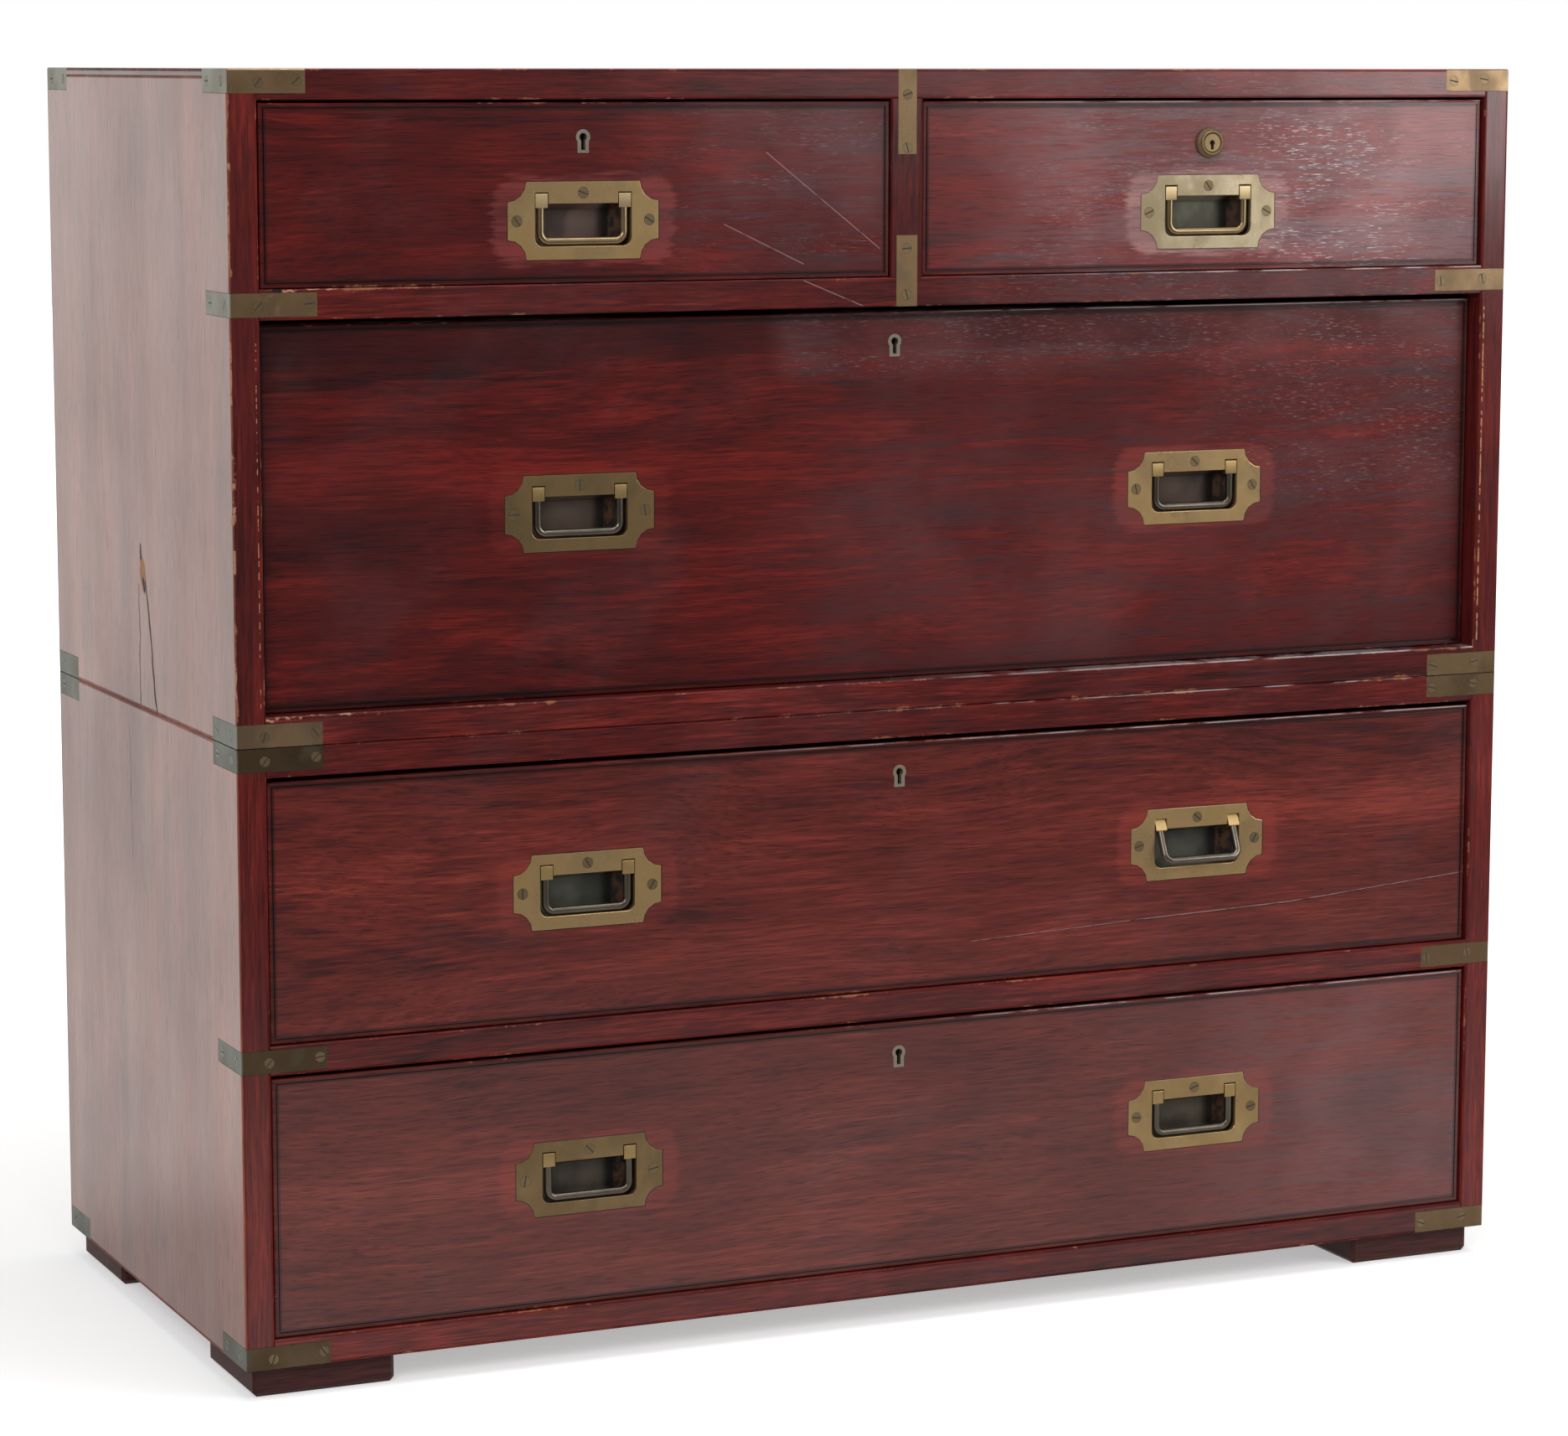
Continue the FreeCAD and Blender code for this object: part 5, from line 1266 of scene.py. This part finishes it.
# %% Screws of the straps
FRONT, BACK, OUTER = CASE_FRONT * MM, -CASE_FRONT * MM, CASE_HALF * MM
AHEAD = Vector((0, -1, 0))
# how far in from a corner the screws sit, in mm: on the top's caps, on other straps, on the sides
CAP_INSETS, STRAP_INSETS, SIDE_INSETS = (22, 49), (20, 57), (13, 45)
DRIFTS = (0.8, -0.6)                # each was bored a little high or low
DIVIDER_DROPS = (18, 56, 128, 161)  # below the top, in mm


def strap_screws(bases, inset_at_top):
    """Places on the front and side leaves, and behind on all straps but the middle one."""
    places = []
    for base in bases:
        z = base + STRAP_WIDTH / 2
        for side in (-1, 1):
            outward = Vector((side, 0, 0))
            for drift, step in zip(DRIFTS, inset_at_top if base == bases[0] else STRAP_INSETS):
                place = Vector((side * (OUTER - step * MM), FRONT, z + drift * side * MM))
                places.append((place, AHEAD))
            for step in SIDE_INSETS:
                places.append((Vector((side * OUTER, FRONT + step * MM, z)), outward))
                if base != bases[1]:
                    places.append((Vector((side * OUTER, BACK - step * MM, z)), outward))
    return places


upper_places = strap_screws(UPPER_STRAPS, CAP_INSETS)
upper_places += [(Vector((0, FRONT, cad_box[1].z - drop * MM)), AHEAD) for drop in DIVIDER_DROPS]
lower_places = strap_screws(LOWER_STRAPS, STRAP_INSETS)
for body, places in (("upper_case", upper_places), ("lower_case", lower_places)):
    name = f"{body}_screws"
    piece = grown(name, SCREW_TREE, body, "strap_brass", points_mesh(name, places), Proud=0.05 * MM)
    print(name, len(places), "screws,", len(piece.data.polygons), "faces")

# %% Screws of the pull plates
PULL_SCREWS = ((0, 19.2), (-49.7, 0), (49.7, 0))    # from the plate's middle, in mm
for number, drawer in enumerate(DRAWERS):
    places = [(middle + Vector((x, 0, z)) * MM, AHEAD)
              for middle in front_middles(drawer) for x, z in PULL_SCREWS]
    grown(f"{drawer}_pull_screws", SCREW_TREE, drawer, "pull_brass", points_mesh(drawer, places),
          Head_Diameter=7.7 * MM, Proud=0.08 * MM, Seed=number + 3)
    print(f"{drawer}: {len(places)} pull screws")


# %% [markdown]
# ## The round lock's collar
# The top right drawer has a small barrel lock. Its collar is a turned part: a thin flange with a
# rounded rim and a raised barrel with a soft lip. Anything turned can be drawn as half a section
# and spun about its axis, which is what a lathe does. The rest of the lock, its case and bolt
# guides, is copied from the solid so that nothing is missing behind the drawer front.

# %% Turn the collar
def turned(mesh_data, profile, middle, steps=56):
    """Spins a closed section of (radius, depth) points, in mm, about an axis along Y."""
    rings = []
    for step in range(steps):
        angle = 2 * math.pi * step / steps
        rings.append([mesh_data.verts.new(
            middle + Vector((math.cos(angle) * r, y, math.sin(angle) * r)) * MM) for r, y in profile])
    for here, there in zip(rings, rings[1:] + rings[:1]):
        for point in range(len(profile)):
            follow = (point + 1) % len(profile)
            corners = (here[point], here[follow], there[follow], there[point])
            mesh_data.faces.new(corners).smooth = True


# half a section of the collar: radius, and depth behind the wood's face, so less than 0 is proud
COLLAR = [(7.4, 0), (7.4, -4.7), (7.6, -5.2), (8.1, -5.5), (8.6, -5.3), (8.9, -4.8), (9.0, -3.6),
          (9.3, -3.1), (10.1, -2.9), (10.8, -2.2), (11.1, -1.2), (11.2, 0)]
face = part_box("top_right_drawer_front")[0].y
plug_low, plug_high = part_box("top_right_drawer_lock_plug")
barrel = Vector(((plug_low.x + plug_high.x) / 2, face, (plug_low.z + plug_high.z) / 2))

# %% Fit it to the lock
lock = bmesh.new()
lock.from_mesh(NODES["top_right_drawer_lock"].data)
bmesh.ops.remove_doubles(lock, verts=lock.verts, dist=MERGE)
# the proud collar of the solid is cut off just inside the wood and the cut is closed
whole = list(lock.verts) + list(lock.edges) + list(lock.faces)
cut = bmesh.ops.bisect_plane(lock, geom=whole, plane_co=(0, face + 0.5 * MM, 0),
                             plane_no=(0, -1, 0), clear_outer=True)
rim = [item for item in cut["geom_cut"] if isinstance(item, bmesh.types.BMEdge)]
bmesh.ops.triangle_fill(lock, edges=rim, use_beauty=True)
bmesh.ops.recalc_face_normals(lock, faces=lock.faces)
turned(lock, COLLAR, barrel)
mesh = bpy.data.meshes.new("top_right_drawer_lock_turned")
lock.to_mesh(mesh)
lock.free()
piece = in_scene(mesh.name, mesh)


# %% Brass of the round lock
def around_barrel(near, far):
    """A ring about the lock's axis, between two radii in mm, soft at its edges."""
    def region(pen, place, cloud, speck):
        across = pen.vector("MULTIPLY", pen.vector("SUBTRACT", place, tuple(barrel)), (1, 0, 1))
        away = pen.vector("LENGTH", across, out=1)
        return pen.all_of(pen.fade(away, (near - 0.3) * MM, near * MM),
                          pen.within(away, far * MM, (far + 0.3) * MM))
    return region


# the flange beyond the barrel is painted darker as painted shade, and a dark ring of dirt lies in the
# gap round the plug
mesh.materials.append(brass("old_brass_collar", PULL_TONES, (0.12, 0.09, 0.05), seed=15.0,
                            patches=[(around_barrel(9.3, 12), (0.075, 0.055, 0.035), 0.75),
                                     (around_barrel(6.9, 7.5), DIRT_AND_SHADE, 0.9)]))
hand_over(piece, "top_right_drawer", "lock_brass", "top_right_drawer_lock")
finish_node("top_right_drawer_lock_plug",
            brass("old_brass_lock_plug", PULL_TONES, (0.16, 0.13, 0.09), seed=23.0,
                  patches=[(around_barrel(6.6, 8), DIRT_AND_SHADE, 0.8)]))
print(mesh.name, len(mesh.polygons), "faces")


# %% [markdown]
# ## Floor, light and camera
# The chest stands on pale paper in a studio that is dark behind the camera and bright behind the
# chest. That is why the front keeps its deep red, having little to mirror, while the left side,
# seen at a low angle, mirrors the bright wall and turns pale. White seen by the camera comes
# from the Light Path node; the lamps stay at a plain level.

# %% Floor
FLOOR_HALF, FLOOR_LEVEL = 14.0, -0.4 * MM
WARM_WHITE = (1, 0.965, 0.935)


def make_floor():
    mesh = bpy.data.meshes.new("paper_floor")
    corners = [(x * FLOOR_HALF, y * FLOOR_HALF, FLOOR_LEVEL)
               for x, y in ((-1, -1), (1, -1), (1, 1), (-1, 1))]
    mesh.from_pydata(corners, [], [(0, 1, 2, 3)])
    floor = in_scene("paper_floor", mesh)
    material, pen, shader, place = new_finish("pale_paper")
    tree = material.node_tree
    tree.nodes.remove(shader)
    ray = pen.node("ShaderNodeLightPath")
    depth = pen.part(place, 1)
    paper = pen.put("ShaderNodeBsdfDiffuse", {"Color": (0.80, 0.80, 0.80)})
    # to the camera the paper is white, and only the shadow under the chest is left to darken it
    far = pen.fade(pen.vector("LENGTH", place, out=1), 0.7, 2.2, 0.42, 1.0)
    glow = pen.put("ShaderNodeEmission", {"Color": (1, 1, 1),
                                          "Strength": pen.times(far, ray.outputs["Is Camera Ray"])})
    both = pen.put("ShaderNodeAddShader", {0: paper, 1: glow})
    # to polish and brass it is white behind and close by, and dark out towards the camera
    mirrored = pen.sum("MAXIMUM", pen.fade(depth, -2.0, -0.7, 0.03, 0.60),
                       pen.fade(depth, -0.2, 0.6, 0.0, 1.02))
    image = pen.put("ShaderNodeEmission", {"Color": WARM_WHITE, "Strength": mirrored})
    shown = pen.put("ShaderNodeMixShader", {0: ray.outputs["Is Glossy Ray"], 1: both, 2: image})
    pen.feed(tree.nodes["Material Output"].inputs["Surface"], shown)
    mesh.materials.append(material)


make_floor()
print("floor:", 2 * FLOOR_HALF, "m square")


# %% World
def make_world():
    world = bpy.data.worlds.new("studio")
    bpy.context.scene.world = world
    world.use_nodes = True
    pen = ShaderPen(world.node_tree)
    background = world.node_tree.nodes["Background"]
    way = pen.put("ShaderNodeTexCoord", {}, "Generated")
    ray = pen.node("ShaderNodeLightPath")
    glossy = ray.outputs["Is Glossy Ray"]
    # a mirror sees a bright wall behind the chest and a soft ceiling, all else a plain level
    behind = pen.fade(pen.part(way, 1), -0.30, 0.40, 0.03, 1.16)
    overhead = pen.fade(pen.part(way, 2), 0.25, 0.9, 0.0, 0.35)
    mirrored = pen.sum("MAXIMUM", behind, overhead)
    plain = pen.plus(pen.times(mirrored, glossy), pen.times(0.45, pen.none_of(glossy)))
    seen = pen.sum("MAXIMUM", ray.outputs["Is Camera Ray"], ray.outputs["Is Transmission Ray"])
    pen.feed(background.inputs["Strength"], pen.plus(pen.times(plain, pen.none_of(seen)), seen))
    pen.feed(background.inputs["Color"], pen.mix(glossy, (1, 1, 1), WARM_WHITE))


make_world()
print("world:", bpy.context.scene.world.name)


# %% Lamps
def soft_lamp(name, place, target, size, power):
    data = bpy.data.lights.new(name, "AREA")
    data.shape, data.size, data.size_y = "RECTANGLE", size[0], size[1]
    data.energy = power
    lamp = in_scene(name, data)
    lamp.location = place
    lamp.rotation_euler = (Vector(target) - Vector(place)).to_track_quat("-Z", "Y").to_euler()


soft_lamp("key_left", (-2.6, -3.2, 2.6), (0, 0, 0.5), (1.6, 1.6), 60)
soft_lamp("window_right", (2.45, -2.35, 1.5), (0, 0, 0.8), (1.5, 1.5), 38)
soft_lamp("curtain_right", (1.45, -2.85, 1.65), (0, 0, 0.9), (1.0, 1.6), 5)
soft_lamp("top_soft", (0.2, -0.6, 3.2), (0, 0, 0.4), (2.4, 2.0), 46)
print("lamps:", {lamp.name: lamp.energy for lamp in bpy.data.lights})

# %% Camera
CAMERA_PLACE, LENS, SENSOR = Vector((-1.4407, -3.2155, 0.9294)), 105.261, 36.0
YAW, PITCH, ROLL = math.radians(24.215), math.radians(-8.138), math.radians(0.069)
ahead = Vector((math.sin(YAW) * math.cos(PITCH), math.cos(YAW) * math.cos(PITCH), math.sin(PITCH)))
sideways = Vector((math.cos(YAW), -math.sin(YAW), 0))
right = sideways * math.cos(ROLL) + sideways.cross(ahead) * math.sin(ROLL)
upward = right.cross(ahead)
camera_data = bpy.data.cameras.new("view")
camera_data.lens, camera_data.sensor_width, camera_data.sensor_fit = LENS, SENSOR, "HORIZONTAL"
camera = in_scene("view", camera_data)
camera.matrix_world = Matrix.LocRotScale(
    CAMERA_PLACE, Matrix((right, upward, -ahead)).transposed().to_quaternion(), None)
bpy.context.scene.camera = camera
bpy.context.scene.view_settings.view_transform = "Standard"
print("camera:", [round(v, 3) for v in CAMERA_PLACE], "lens", LENS)
